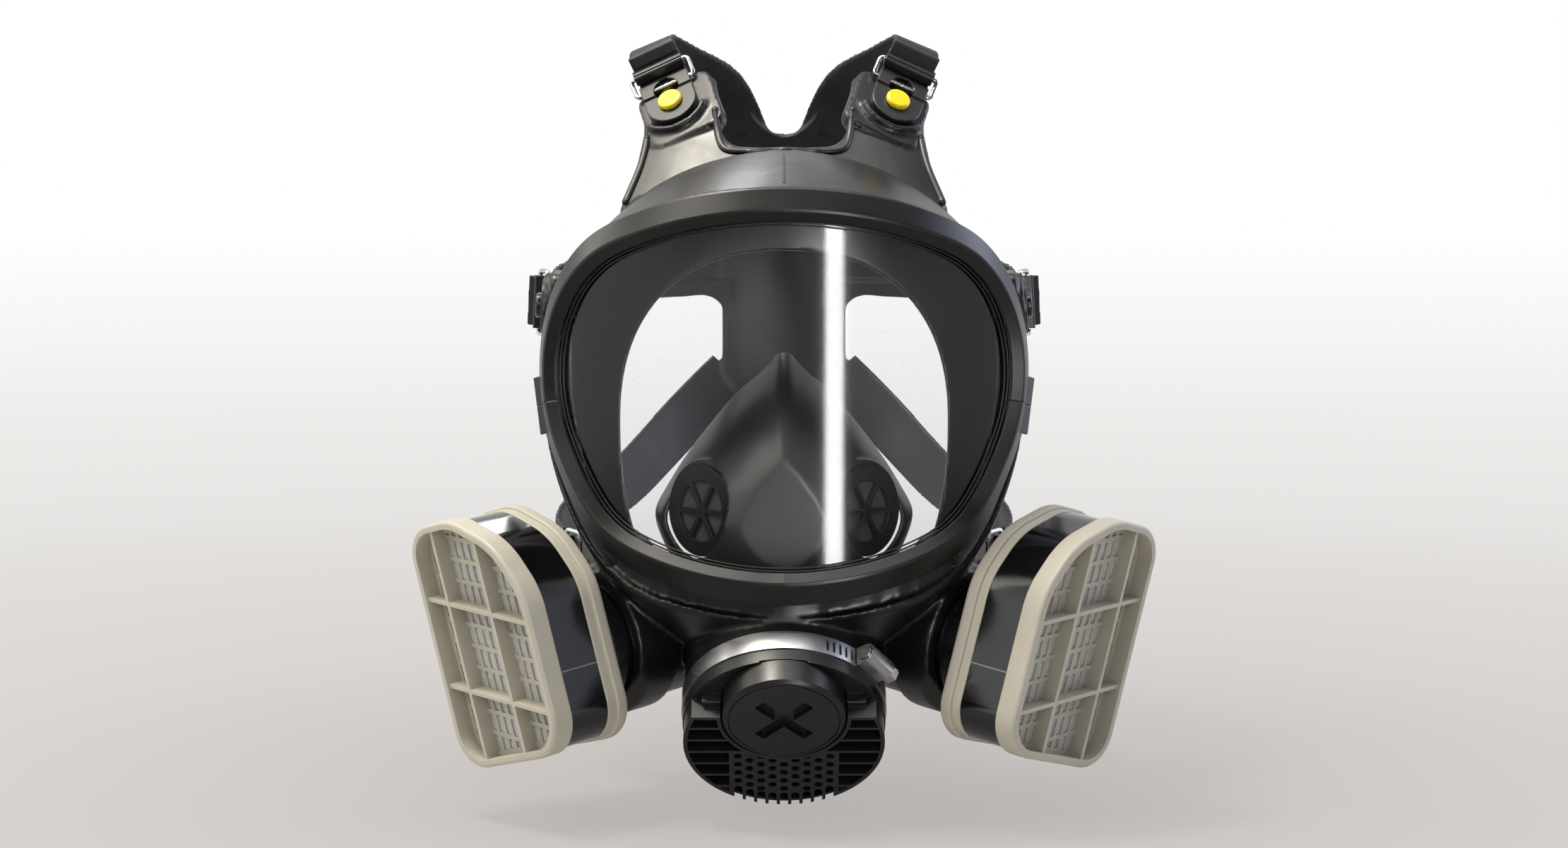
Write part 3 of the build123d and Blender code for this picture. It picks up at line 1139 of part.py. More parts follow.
def worm_frame():
    """Frame of the clamp's worm: x outward, y along the worm."""
    reach = NECK_RADIUS + 2 * SEAT_GAP + BAND_THICKNESS + HOUSING_RADIUS
    return OUTLET * Rot(0, 0, HOUSING_ANGLE) * Pos(reach, 0, NECK_END - BAND_WIDTH / 2) * Rot(90, 0, 0)


def clamp_housing():
    """Folded housing over the clamp's worm."""
    length = HOUSING_LENGTH
    body = Pos(0, 0, -length / 2) * Cylinder(HOUSING_RADIUS, length, align=BASE)
    body += block(-HOUSING_RADIUS, 0, -HOUSING_RADIUS, HOUSING_RADIUS, -length / 2, length / 2)
    body -= cylinder_at(WORM_RADIUS + RUNNING_GAP, -length, length)
    return worm_frame() * body


def clamp_screw():
    """Worm screw of the clamp with a slotted hexagon head."""
    half = HOUSING_LENGTH / 2
    body = cylinder_at(WORM_RADIUS, -half - WORM_TIP, half + RUNNING_GAP)
    for i in range(THREAD_COUNT):
        z = -half + THREAD_START + i * THREAD_PITCH
        body -= tube(WORM_RADIUS + OVERCUT, WORM_RADIUS - THREAD_DEPTH, z, z + THREAD_WIDTH)
    head_start = half + RUNNING_GAP
    head = extrude(Pos(0, 0, head_start) * RegularPolygon(WORM_HEAD_RADIUS, 6), amount=WORM_HEAD_LENGTH)
    head_end = head_start + WORM_HEAD_LENGTH
    head -= block(-NEAR, NEAR, -WORM_SLOT_WIDTH / 2, WORM_SLOT_WIDTH / 2, head_end - WORM_SLOT_DEPTH,
                  head_end + OVERCUT)
    return worm_frame() * (body + head)


# ---------------------------------------------------------------- buckles
def buckle_plate():
    """Buckle plate with a keyhole, a stepped groove and a notch over the bail's pin."""
    half = BUCKLE_WIDTH / 2
    flat = Circle(half) + Pos(0, BUCKLE_TOP / 2) * Rectangle(BUCKLE_WIDTH, BUCKLE_TOP)
    keyhole = Circle(STUD_RADIUS + RUNNING_GAP)
    keyhole += Pos(0, KEYHOLE_OFFSET / 2) * Rectangle(2 * (STUD_RADIUS + RUNNING_GAP), KEYHOLE_OFFSET)
    keyhole += Pos(0, KEYHOLE_OFFSET) * Circle(KEYHOLE_RADIUS)
    plate = extrude(Pos(0, 0, PLATE_BACK) * flat, amount=BUCKLE_THICKNESS)
    plate = fillet(plate.edges().group_by(Axis.Z)[-1], BUCKLE_ROUNDING)
    plate -= extrude(Pos(0, 0, PLATE_BACK - 1) * keyhole, amount=BUCKLE_THICKNESS + 2)
    plate -= block(-half - 1, half + 1, GROOVE_OFFSET - GROOVE_WIDTH / 2, GROOVE_OFFSET + GROOVE_WIDTH / 2,
                   -GROOVE_DEPTH, 1)
    notch = block(-PIN_NOTCH_WIDTH / 2, PIN_NOTCH_WIDTH / 2, KEYHOLE_OFFSET, BUCKLE_TOP + OVERCUT,
                  -PIN_NOTCH_DEPTH, OVERCUT)
    pin = Rot(0, 90, 0) * Cylinder(BAIL_RADIUS + PIN_FIT, NEAR)
    return plate - notch - Pos(0, BAIL_OFFSET, -BUCKLE_THICKNESS / 2) * pin


def buckle_bail():
    """Wire bail: a pin through the plate, two side arms and the rod in the clamp bar."""
    rear = BAIL_OFFSET + BAIL_LENGTH
    low = -BUCKLE_THICKNESS / 2
    high = BAR_MIDDLE
    reach = BAIL_HALF_WIDTH
    wire = FilletPolyline((0, BAIL_OFFSET, low), (reach, BAIL_OFFSET, low), (reach, rear, high),
                          (-reach, rear, high), (-reach, BAIL_OFFSET, low), (-BAIL_SPLIT, BAIL_OFFSET, low),
                          radius=BAIL_BEND)
    start = Plane(origin=(0, BAIL_OFFSET, low), z_dir=(1, 0, 0))
    return sweep(start * Circle(BAIL_RADIUS), path=wire)


def buckle_bar():
    """Ridged clamp bar on the bail."""
    rear = BAIL_OFFSET + BAIL_LENGTH
    middle = BAR_MIDDLE
    half = BAR_LENGTH / 2
    body = block(-half, half, rear - BAR_DEPTH / 2, rear + BAR_DEPTH / 2, middle - BAR_HEIGHT / 2,
                 middle + BAR_HEIGHT / 2)
    body = fillet(body.edges().filter_by(Axis.X), BAR_ROUNDING)
    top = middle + BAR_HEIGHT / 2
    for y in BAR_GROOVES:
        near = rear + y - BAR_GROOVE_WIDTH / 2
        body -= block(-half - OVERCUT, half + OVERCUT, near, near + BAR_GROOVE_WIDTH,
                      top - BAR_GROOVE_DEPTH, top + OVERCUT)
    rod = Pos(0, rear, middle) * Rot(0, 90, 0) * Cylinder(BAIL_RADIUS + SEAT_GAP / 2, NEAR)
    return body - rod


def strap_end():
    """End of a strap under the clamp bar, with its free tail turned up behind the bar."""
    half = STRAP_WIDTH / 2
    bar_under = BAR_MIDDLE - BAR_HEIGHT / 2
    top = min(STRAP_TOP, bar_under - RUNNING_GAP)
    bottom = TAB_FACE + RUNNING_GAP
    run = block(-half, half, BUCKLE_TOP + STRAP_START, STRAP_JOIN_RADIUS + ARM_LEAD, bottom, top)
    rear = BAIL_OFFSET + BAIL_LENGTH + BAR_DEPTH / 2 + TAIL_CLEARANCE
    foot = top - TAIL_SINK
    tail = make_face(Polyline((rear, foot), (rear + TAIL_FOOT, foot),
                              (rear + TAIL_LEAN, top + TAIL_RISE - TAIL_SLANT),
                              (rear + TAIL_LEAN - TAIL_TIP, top + TAIL_RISE), close=True))
    profile = Plane(origin=(-half, 0, 0), x_dir=(0, 1, 0), z_dir=(1, 0, 0))
    run += extrude(profile * tail, amount=STRAP_WIDTH)
    return run & cylinder_at(STRAP_JOIN_RADIUS, -NEAR, NEAR)


# ---------------------------------------------------------------- head harness
def on_head(x, y, z):
    """Point pushed radially onto the head."""
    centre = Vector(*HEAD_CENTRE)
    ray = Vector(x, y, z) - centre
    size = sqrt(sum((c / r) ** 2 for c, r in zip(ray, HEAD_RADII)))
    return centre + ray * (1 / size)


def head_normal(point):
    """Outward direction of the head at a point."""
    ray = point - Vector(*HEAD_CENTRE)
    return Vector(*(c / r ** 2 for c, r in zip(ray, HEAD_RADII))).normalized()


ARM_ROUTES = {
    "top": [(-44, 52, 141), (-33, 80, 138), (-23, 112, 126), (-15, 138, 108)],
    "temple": [(-88, 46, 50), (-79, 85, 54), (-63, 122, 58), (-41, 150, 61), (-18, 166, 62)],
    "cheek": [(-84, 38, -41), (-75, 72, -35), (-60, 106, -25), (-41, 142, -6), (-22, 160, 12)],
}
ARM_WIDTH = {"top": 20.0, "temple": ARM_END_WIDTH, "cheek": ARM_END_WIDTH}


def harness_arm(name):
    """Strap from one buckle to the pad on the back of the head, on the -X side."""
    plane = BUCKLES[name]
    middle = (TAB_FACE + RUNNING_GAP + STRAP_TOP) / 2
    start = plane.from_local_coords(Vector(0, STRAP_JOIN_RADIUS - 2, middle))
    second = plane.from_local_coords(Vector(0, STRAP_JOIN_RADIUS + ARM_LEAD, middle))
    route = ARM_ROUTES[name]
    points = [start, second] + [Vector(*p) for p in route[:-3]] + [on_head(*p) for p in route[-3:]]
    path = Spline(*points)
    count = 2 * len(points)
    faces = []
    for i in range(count + 1):
        share = i / count
        point = path @ share
        along = path % share
        blend = min(1.0, share * ARM_TURN_SHARE)
        out = plane.z_dir * (1 - blend) + head_normal(point) * blend
        out = (out - along * out.dot(along)).normalized()
        width = STRAP_WIDTH + (ARM_WIDTH[name] - STRAP_WIDTH) * share
        across = Plane(origin=point, x_dir=out, z_dir=along)
        faces.append(across * Rectangle(HARNESS_THICKNESS - ARM_THINNING, width))
    arm = loft(faces)
    return arm - plane * cylinder_at(STRAP_JOIN_RADIUS + RUNNING_GAP, -NEAR, NEAR)


def ellipsoid(grow):
    """Head-shaped ellipsoid grown by an amount."""
    x, y, z = (r + grow for r in HEAD_RADII)
    return Pos(*HEAD_CENTRE) * scale(Sphere(1.0), by=(x, y, z))


def harness():
    """Rubber harness: a pad on the back of the head and six arms."""
    half = PAD_THICKNESS / 2
    side = [(PAD_HALF_WIDTH + x, z) for x, z in PAD_CORNERS]
    outline = make_face(Polyline(*side, *[(-x, z) for x, z in reversed(side)], close=True))
    outline = fillet(outline.vertices(), PAD_ROUNDING)
    notch = Pos(0, PAD_CORNERS[0][1] + PAD_NOTCH_RISE) * Circle(PAD_NOTCH_RADIUS)
    column = extrude(upright(HEAD_CENTRE[1]) * (outline - notch), amount=-FAR)
    body = (ellipsoid(half) - ellipsoid(-half)) & column
    for name in ARM_ROUTES:
        arm = harness_arm(name)
        body = body + arm + other_side(arm)
    return body


# ---------------------------------------------------------------- output
def both_sides(name, shape):
    """A node for the piece as made, on the -X side, and one for its mirror image."""
    return {name + "_right": shape, name + "_left": other_side(shape)}


def make_nodes():
    """Every node of the respirator, by name."""
    nodes = {
        "face_blank": face_blank(),
        "lens": lens(),
        "lens_frame_upper": lens_frame_upper(),
        "lens_frame_lower": lens_frame_lower(),
        "frame_screws": frame_screws(),
        "frame_nuts": frame_nuts(),
        "nose_cup": nose_cup(),
        "center_adapter": center_adapter(),
        "exhalation_flap": exhalation_flap(),
        "outlet_cover": outlet_cover(),
        "port_cap": port_cap(),
        "cap_gasket": cap_gasket(),
        "clamp_band": clamp_band(),
        "clamp_housing": clamp_housing(),
        "clamp_screw": clamp_screw(),
        "harness": harness(),
        "strap_studs": strap_studs(),
    }
    nodes.update(both_sides("nose_valve_seat", nose_valve_seat()))
    nodes.update(both_sides("nose_valve_flap", nose_valve_flap()))
    nodes.update(both_sides("inlet_adapter", inlet_adapter()))
    nodes.update(both_sides("inlet_gasket", inlet_gasket()))
    nodes.update(both_sides("inlet_flap", inlet_flap()))
    nodes.update(both_sides("cartridge_shell", cartridge_shell()))
    nodes.update(both_sides("cartridge_cover", cartridge_cover()))
    nodes.update(both_sides("cartridge_label", cartridge_label()))
    nodes.update(both_sides("cartridge_media", cartridge_media()))
    for place, plane in BUCKLES.items():
        nodes.update(both_sides("buckle_plate_" + place, plane * buckle_plate()))
        nodes.update(both_sides("buckle_bail_" + place, plane * buckle_bail()))
        nodes.update(both_sides("buckle_bar_" + place, plane * buckle_bar()))
        nodes.update(both_sides("strap_end_" + place, plane * strap_end()))
    return nodes


def main():
    """Write one STEP file for each node."""
    os.makedirs("parts", exist_ok=True)
    for name, shape in make_nodes().items():
        solids = shape if isinstance(shape, list) else shape.solids()
        export_step(Compound(label=name, children=list(solids)), f"parts/{name}.step")


main()
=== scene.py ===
"""Studio scene of a full face respirator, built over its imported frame.

All sizes are in metres in the frame's own axes: +Z is up, -Y the way the wearer
looks and +X the wearer's left.
"""
from __future__ import annotations

import json
import logging
import math
from dataclasses import dataclass
from enum import Enum
from typing import Any, Iterable, Mapping, Sequence

import bmesh
import bpy
from mathutils import Matrix, Vector, noise
from mathutils.bvhtree import BVHTree


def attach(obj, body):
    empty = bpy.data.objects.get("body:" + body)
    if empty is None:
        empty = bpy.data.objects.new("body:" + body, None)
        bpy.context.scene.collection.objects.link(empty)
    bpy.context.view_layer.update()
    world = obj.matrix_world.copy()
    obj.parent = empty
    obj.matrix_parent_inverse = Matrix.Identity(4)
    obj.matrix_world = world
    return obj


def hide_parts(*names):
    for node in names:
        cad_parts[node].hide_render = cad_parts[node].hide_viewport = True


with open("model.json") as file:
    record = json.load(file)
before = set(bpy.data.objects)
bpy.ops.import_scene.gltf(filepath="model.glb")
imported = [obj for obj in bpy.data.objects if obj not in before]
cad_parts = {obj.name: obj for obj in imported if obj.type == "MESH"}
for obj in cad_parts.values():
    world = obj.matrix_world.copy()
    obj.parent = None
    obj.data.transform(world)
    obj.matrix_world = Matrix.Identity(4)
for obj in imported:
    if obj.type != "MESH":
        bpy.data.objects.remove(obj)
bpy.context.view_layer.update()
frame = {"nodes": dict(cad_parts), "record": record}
LOG = logging.getLogger("respirator")
Colour = tuple[float, float, float, float]
Point3 = tuple[float, float, float]
Point2 = tuple[float, float]

MM = 0.001
WELD = 0.000002            # points closer than this are one point
INWARD = Vector((0.0, 1.0, 0.0))      # the way the camera looks
FORWARD = Vector((0.0, -1.0, 0.0))    # the way the wearer looks
BEAD_SMOOTH = 80.0                    # edges of a bead sharper than this stay sharp
WHITE: Colour = (1.0, 1.0, 1.0, 1.0)
BLACK: Colour = (0.0, 0.0, 0.0, 1.0)


class Side(Enum):
    """Side of the wearer that a piece is on, with the sign of its X."""

    RIGHT = -1
    LEFT = 1

    @property
    def tag(self) -> str:
        """Ending of the names of the nodes and bodies on this side."""
        return self.name.lower()


class Place(Enum):
    """Height on the facepiece at which a pair of buckles sits."""

    TOP = "top"
    TEMPLE = "temple"
    CHEEK = "cheek"


class Pattern(Enum):
    """Small-scale structure of a surface."""

    MOULDED = "moulded"
    BRUSHED = "brushed"
    FIBROUS = "fibrous"


def srgb(red: int, green: int, blue: int) -> Colour:
    """Linear colour of a display colour.

    Args:
        red: Red from 0 to 255.
        green: Green from 0 to 255.
        blue: Blue from 0 to 255.

    Returns:
        The linear colour with full opacity.
    """
    def linear(level: float) -> float:
        """Linear value of one display channel."""
        return level / 12.92 if level <= 0.04045 else ((level + 0.055) / 1.055) ** 2.4

    return (linear(red / 255), linear(green / 255), linear(blue / 255), 1.0)


class Graph:
    """Node tree of a material, a world or a group, with short calls to fill it."""

    def __init__(self, tree: bpy.types.NodeTree) -> None:
        """Takes the tree to fill and clears it."""
        self.tree = tree
        tree.nodes.clear()

    def add(self, kind: str, inputs: Mapping[str | int, Any] | None = None,
            **settings: Any) -> bpy.types.Node:
        """Adds one node.

        Args:
            kind: Node type.
            inputs: Values or output sockets by input name or number.
            **settings: Properties of the node itself.

        Returns:
            The new node.
        """
        node = self.tree.nodes.new(kind)
        for name, value in settings.items():
            setattr(node, name, value)
        for key, value in (inputs or {}).items():
            if isinstance(value, bpy.types.NodeSocket):
                self.tree.links.new(value, node.inputs[key])
            else:
                node.inputs[key].default_value = value
        return node

    def math(self, operation: str, *values: Any, clamp: bool = False) -> bpy.types.NodeSocket:
        """Output of a Math node on up to three values or sockets."""
        node = self.add("ShaderNodeMath", dict(enumerate(values)), operation=operation, use_clamp=clamp)
        return node.outputs[0]

    def blend(self, factor: Any, first: Any, second: Any) -> bpy.types.NodeSocket:
        """Colour between two colours by a factor."""
        node = self.add("ShaderNodeMix", {0: factor, 6: first, 7: second}, data_type="RGBA")
        return node.outputs[2]

    def ramp(self, value: Any, low: float, high: float, start: float = 0.0,
             end: float = 1.0) -> bpy.types.NodeSocket:
        """Value mapped from low..high to start..end and held at both ends."""
        node = self.add("ShaderNodeMapRange", {0: value, 1: low, 2: high, 3: start, 4: end})
        return node.outputs[0]

    def noise(self, scale: Any, vector: Any, detail: float = 3.0, roughness: float = 0.5,
              distortion: float = 0.0) -> bpy.types.NodeSocket:
        """Value of a noise texture."""
        node = self.add("ShaderNodeTexNoise", {"Scale": scale, "Vector": vector, "Detail": detail,
                                               "Roughness": roughness, "Distortion": distortion})
        return node.outputs[0]

    def place(self) -> bpy.types.NodeSocket:
        """Object coordinates, which are the frame's own coordinates in metres."""
        return self.add("ShaderNodeTexCoord").outputs["Object"]


def group(name: str, inputs: Sequence[tuple[str, str, float]],
          outputs: Sequence[tuple[str, str]]) -> tuple[Graph, bpy.types.Node]:
    """Starts a shader node group with named sockets.

    Args:
        name: Name of the group.
        inputs: Name, socket kind and default of each input.
        outputs: Name and socket kind of each output.

    Returns:
        The group's graph and its input node.
    """
    tree = bpy.data.node_groups.new(name, "ShaderNodeTree")
    for label, kind, default in inputs:
        socket = tree.interface.new_socket(label, in_out="INPUT", socket_type=kind)
        socket.default_value = default
    for label, kind in outputs:
        tree.interface.new_socket(label, in_out="OUTPUT", socket_type=kind)
    graph = Graph(tree)
    return graph, graph.add("NodeGroupInput")


class Effects:
    """The shared surface effects, each built once as a node group."""

    VALUE = "NodeSocketFloat"
    BEVEL_SAMPLES = 6
    WIDE_GRAINS = 0.06         # scale of the wide waves in the grain, as a share of its own
    WIDE_HEIGHT = 1.6
    BROAD_LINES = 0.12
    EDGE_TURN = (0.995, 0.85)  # cosines between which a rounded edge counts as worn
    WEAR_SCALE = 140.0
    DUST_SCALE = 60.0
    CLOUD_SCALE = 35.0

    def __init__(self) -> None:
        """Builds every effect."""
        self.relief = self._relief()
        self.brushing = self._brushing()
        self.wear = self._wear()
        self.dust = self._dust()
        self.handling = self._handling()

    def _relief(self) -> bpy.types.NodeTree:
        """Fine pebbled grain of a mould, with edges rounded over a radius."""
        graph, given = group("moulded_relief",
                             [("Grains", self.VALUE, 2000.0), ("Depth", self.VALUE, 0.00002),
                              ("Rounding", self.VALUE, 0.0003)], [("Normal", "NodeSocketVector")])
        spot = graph.place()
        fine = graph.noise(given.outputs["Grains"], spot, 4.0, 0.6)
        wide = graph.noise(graph.math("MULTIPLY", given.outputs["Grains"], self.WIDE_GRAINS), spot, 2.0)
        height = graph.math("MULTIPLY_ADD", wide, self.WIDE_HEIGHT, fine)
        rounded = graph.add("ShaderNodeBevel", {"Radius": given.outputs["Rounding"]},
                            samples=self.BEVEL_SAMPLES)
        bump = graph.add("ShaderNodeBump", {"Strength": 1.0, "Distance": given.outputs["Depth"],
                                            "Height": height, "Normal": rounded.outputs[0]})
        graph.add("NodeGroupOutput", {"Normal": bump.outputs[0]})
        return graph.tree

    def _brushing(self) -> bpy.types.NodeTree:
        """Long parallel scratches: a height for the bump and a mask for roughness."""
        graph, given = group("brushed_lines", [("Vector", "NodeSocketVector", (0.0, 0.0, 0.0))],
                             [("Height", self.VALUE), ("Mask", self.VALUE)])
        lines = graph.noise(1.0, given.outputs["Vector"], 5.0, 0.7)
        broad = graph.noise(self.BROAD_LINES, given.outputs["Vector"], 2.0)
        graph.add("NodeGroupOutput", {"Height": lines, "Mask": graph.ramp(broad, 0.3, 0.7)})
        return graph.tree

    def _wear(self) -> bpy.types.NodeTree:
        """Mask of the outer edges that handling has rubbed, broken up by noise."""
        graph, given = group("edge_wear", [("Width", self.VALUE, 0.0006), ("Amount", self.VALUE, 0.5)],
                             [("Mask", self.VALUE)])
        rounded = graph.add("ShaderNodeBevel", {"Radius": given.outputs["Width"]},
                            samples=self.BEVEL_SAMPLES)
        flat = graph.add("ShaderNodeNewGeometry").outputs["Normal"]
        along = graph.add("ShaderNodeVectorMath", {0: rounded.outputs[0], 1: flat}, operation="DOT_PRODUCT")
        edge = graph.ramp(along.outputs["Value"], *self.EDGE_TURN)
        broken = graph.ramp(graph.noise(self.WEAR_SCALE, graph.place(), 4.0, 0.6), 0.35, 0.7)
        mask = graph.math("MULTIPLY", graph.math("MULTIPLY", edge, broken), given.outputs["Amount"])
        graph.add("NodeGroupOutput", {"Mask": mask})
        return graph.tree

    def _dust(self) -> bpy.types.NodeTree:
        """Mask of the thin dust that settles on faces that look up."""
        graph, given = group("settled_dust", [("Amount", self.VALUE, 0.3)], [("Mask", self.VALUE)])
        flat = graph.add("ShaderNodeNewGeometry").outputs["Normal"]
        upward = graph.add("ShaderNodeSeparateXYZ", {0: flat}).outputs["Z"]
        patchy = graph.ramp(graph.noise(self.DUST_SCALE, graph.place(), 6.0, 0.7), 0.35, 0.75)
        mask = graph.math("MULTIPLY", graph.ramp(upward, 0.2, 1.0), patchy)
        graph.add("NodeGroupOutput", {"Mask": graph.math("MULTIPLY", mask, given.outputs["Amount"])})
        return graph.tree

    def _handling(self) -> bpy.types.NodeTree:
        """Soft cloudy mask where the gloss differs from touch and polish."""
        graph, given = group("handling_marks", [("Scale", self.VALUE, self.CLOUD_SCALE)],
                             [("Mask", self.VALUE)])
        cloud = graph.noise(given.outputs["Scale"], graph.place(), 5.0, 0.55, 0.6)
        graph.add("NodeGroupOutput", {"Mask": graph.ramp(cloud, 0.3, 0.7)})
        return graph.tree


@dataclass(frozen=True)
class Finish:
    """Look of one kind of surface, whose constants are set on the shader itself."""

    name: str
    colour: Colour
    roughness: float
    worn: Colour = srgb(150, 148, 142)
    pattern: Pattern = Pattern.MOULDED
    metallic: float = 0.0
    specular: float = 0.5
    coat: float = 0.0
    sheen: float = 0.0
    grains: float = 2200.0
    depth: float = 0.000012
    rounding: float = 0.0003
    wear: float = 0.25
    dust: float = 0.0
    uneven: float = 0.08
    mottle: float = 0.12
    below: Colour | None = None
    below_height: float = 0.1
    coat_roughness: float = 0.12
    sheen_roughness: float = 0.4
    dust_colour: Colour = srgb(150, 146, 138)
    dust_roughness: float = 0.3
    strand_scale: float = 900.0
    strand_shade: float = 0.72
    brush_tilt: float = -48.0
    brush_scale: Point3 = (60.0, 60.0, 5200.0)
    brush_roughness: float = 0.12

    def shade(self, factor: float) -> Colour:
        """The finish's own colour, darker or lighter by a factor."""
        return tuple(min(1.0, level * factor) for level in self.colour[:3]) + (1.0,)

    def build(self, effects: Effects) -> bpy.types.Material:
        """Makes the material.

        Args:
            effects: The shared node groups.

        Returns:
            The new material.
        """
        material = bpy.data.materials.new(self.name)
        material.use_nodes = True
        graph = Graph(material.node_tree)
        marks = graph.add("ShaderNodeGroup", {}, node_tree=effects.handling).outputs["Mask"]
        wear = graph.add("ShaderNodeGroup", {}, node_tree=effects.wear)
        wear.inputs["Amount"].default_value = self.wear
        wear.inputs["Width"].default_value = 2.0 * self.rounding
        dust = graph.add("ShaderNodeGroup", {"Amount": self.dust}, node_tree=effects.dust)
        colour = graph.blend(marks, self.shade(1 - self.mottle), self.shade(1 + self.mottle))
        if self.below is not None:
            height = graph.add("ShaderNodeSeparateXYZ", {0: graph.place()}).outputs["Z"]
            colour = graph.blend(graph.math("LESS_THAN", height, self.below_height), colour, self.below)
        if self.pattern is Pattern.FIBROUS:
            strands = graph.noise(self.strand_scale, graph.place(), 8.0, 0.75, 2.0)
            between = self.shade((1 - self.mottle) * self.strand_shade)
            colour = graph.blend(graph.ramp(strands, 0.35, 0.65), between, colour)
        colour = graph.blend(wear.outputs["Mask"], colour, self.worn)
        colour = graph.blend(dust.outputs["Mask"], colour, self.dust_colour)
        rough = graph.ramp(marks, 0.0, 1.0, self.roughness - self.uneven, self.roughness + self.uneven)
        duller = graph.math("MULTIPLY", dust.outputs["Mask"], self.dust_roughness)
        rough = graph.math("ADD", rough, duller, clamp=True)
        if self.pattern is Pattern.BRUSHED:
            normal, rough = self._brush(graph, effects, rough)
        else:
            relief = graph.add("ShaderNodeGroup", {}, node_tree=effects.relief)
            relief.inputs["Grains"].default_value = self.grains
            relief.inputs["Depth"].default_value = self.depth
            relief.inputs["Rounding"].default_value = self.rounding
            normal = relief.outputs["Normal"]
        shader = graph.add("ShaderNodeBsdfPrincipled", {
            "Base Color": colour, "Roughness": rough, "Normal": normal, "Metallic": self.metallic,
            "Specular IOR Level": self.specular, "Coat Weight": self.coat,
            "Coat Roughness": self.coat_roughness, "Sheen Weight": self.sheen,
            "Sheen Roughness": self.sheen_roughness})
        graph.add("ShaderNodeOutputMaterial", {"Surface": shader.outputs[0]})
        return material

    def _brush(self, graph: Graph, effects: Effects,
               rough: bpy.types.NodeSocket) -> tuple[bpy.types.NodeSocket, bpy.types.NodeSocket]:
        """Normal and roughness of steel brushed round the outlet's tilted axis."""
        turned = graph.add("ShaderNodeMapping", {
            "Vector": graph.place(), "Rotation": (math.radians(self.brush_tilt), 0.0, 0.0),
            "Scale": self.brush_scale}, vector_type="POINT")
        brushed = graph.add("ShaderNodeGroup", {"Vector": turned.outputs[0]}, node_tree=effects.brushing)
        bump = graph.add("ShaderNodeBump", {"Strength": 0.5, "Distance": self.depth,
                                            "Height": brushed.outputs["Height"]})
        varied = graph.math("MULTIPLY_ADD", brushed.outputs["Mask"], self.brush_roughness, rough,
                            clamp=True)
        return bump.outputs[0], varied


@dataclass(frozen=True)
class ClearFinish:
    """Look of the clear lens, which lets lamplight through to what is behind it."""

    name: str = "clear_polycarbonate"
    tint: Colour = (0.975, 0.98, 0.985, 1.0)
    speck: Colour = (0.8, 0.8, 0.8, 1.0)
    ior: float = 1.04
    skin_ior: float = 1.5
    skin_roughness: float = 0.10
    smear: float = 0.02
    smear_scale: float = 22.0
    speck_scale: float = 420.0

    def build(self, effects: Effects) -> bpy.types.Material:
        """Makes the material, whose outer face alone has a skin that mirrors the lamps.

        Args:
            effects: The shared node groups.

        Returns:
            The new material.
        """
        material = bpy.data.materials.new(self.name)
        material.use_nodes = True
        graph = Graph(material.node_tree)
        marks = graph.add("ShaderNodeGroup", {"Scale": self.smear_scale}, node_tree=effects.handling)
        rough = graph.ramp(marks.outputs["Mask"], 0.4, 1.0, 0.0, self.smear)
        specks = graph.ramp(graph.noise(self.speck_scale, graph.place(), 2.0), 0.71, 0.76)
        outer = graph.math("SUBTRACT", 1.0, graph.add("ShaderNodeNewGeometry").outputs["Backfacing"])
        clear = graph.add("ShaderNodeBsdfPrincipled", {
            "Base Color": graph.blend(specks, self.tint, self.speck), "Roughness": rough,
            "IOR": self.ior, "Transmission Weight": 1.0, "Coat Weight": outer,
            "Coat Roughness": self.skin_roughness, "Coat IOR": self.skin_ior})
        through = graph.add("ShaderNodeBsdfTransparent", {"Color": self.tint})
        shadow = graph.add("ShaderNodeLightPath").outputs["Is Shadow Ray"]
        mixed = graph.add("ShaderNodeMixShader", {0: shadow, 1: clear.outputs[0], 2: through.outputs[0]})
        graph.add("ShaderNodeOutputMaterial", {"Surface": mixed.outputs[0]})
        return material


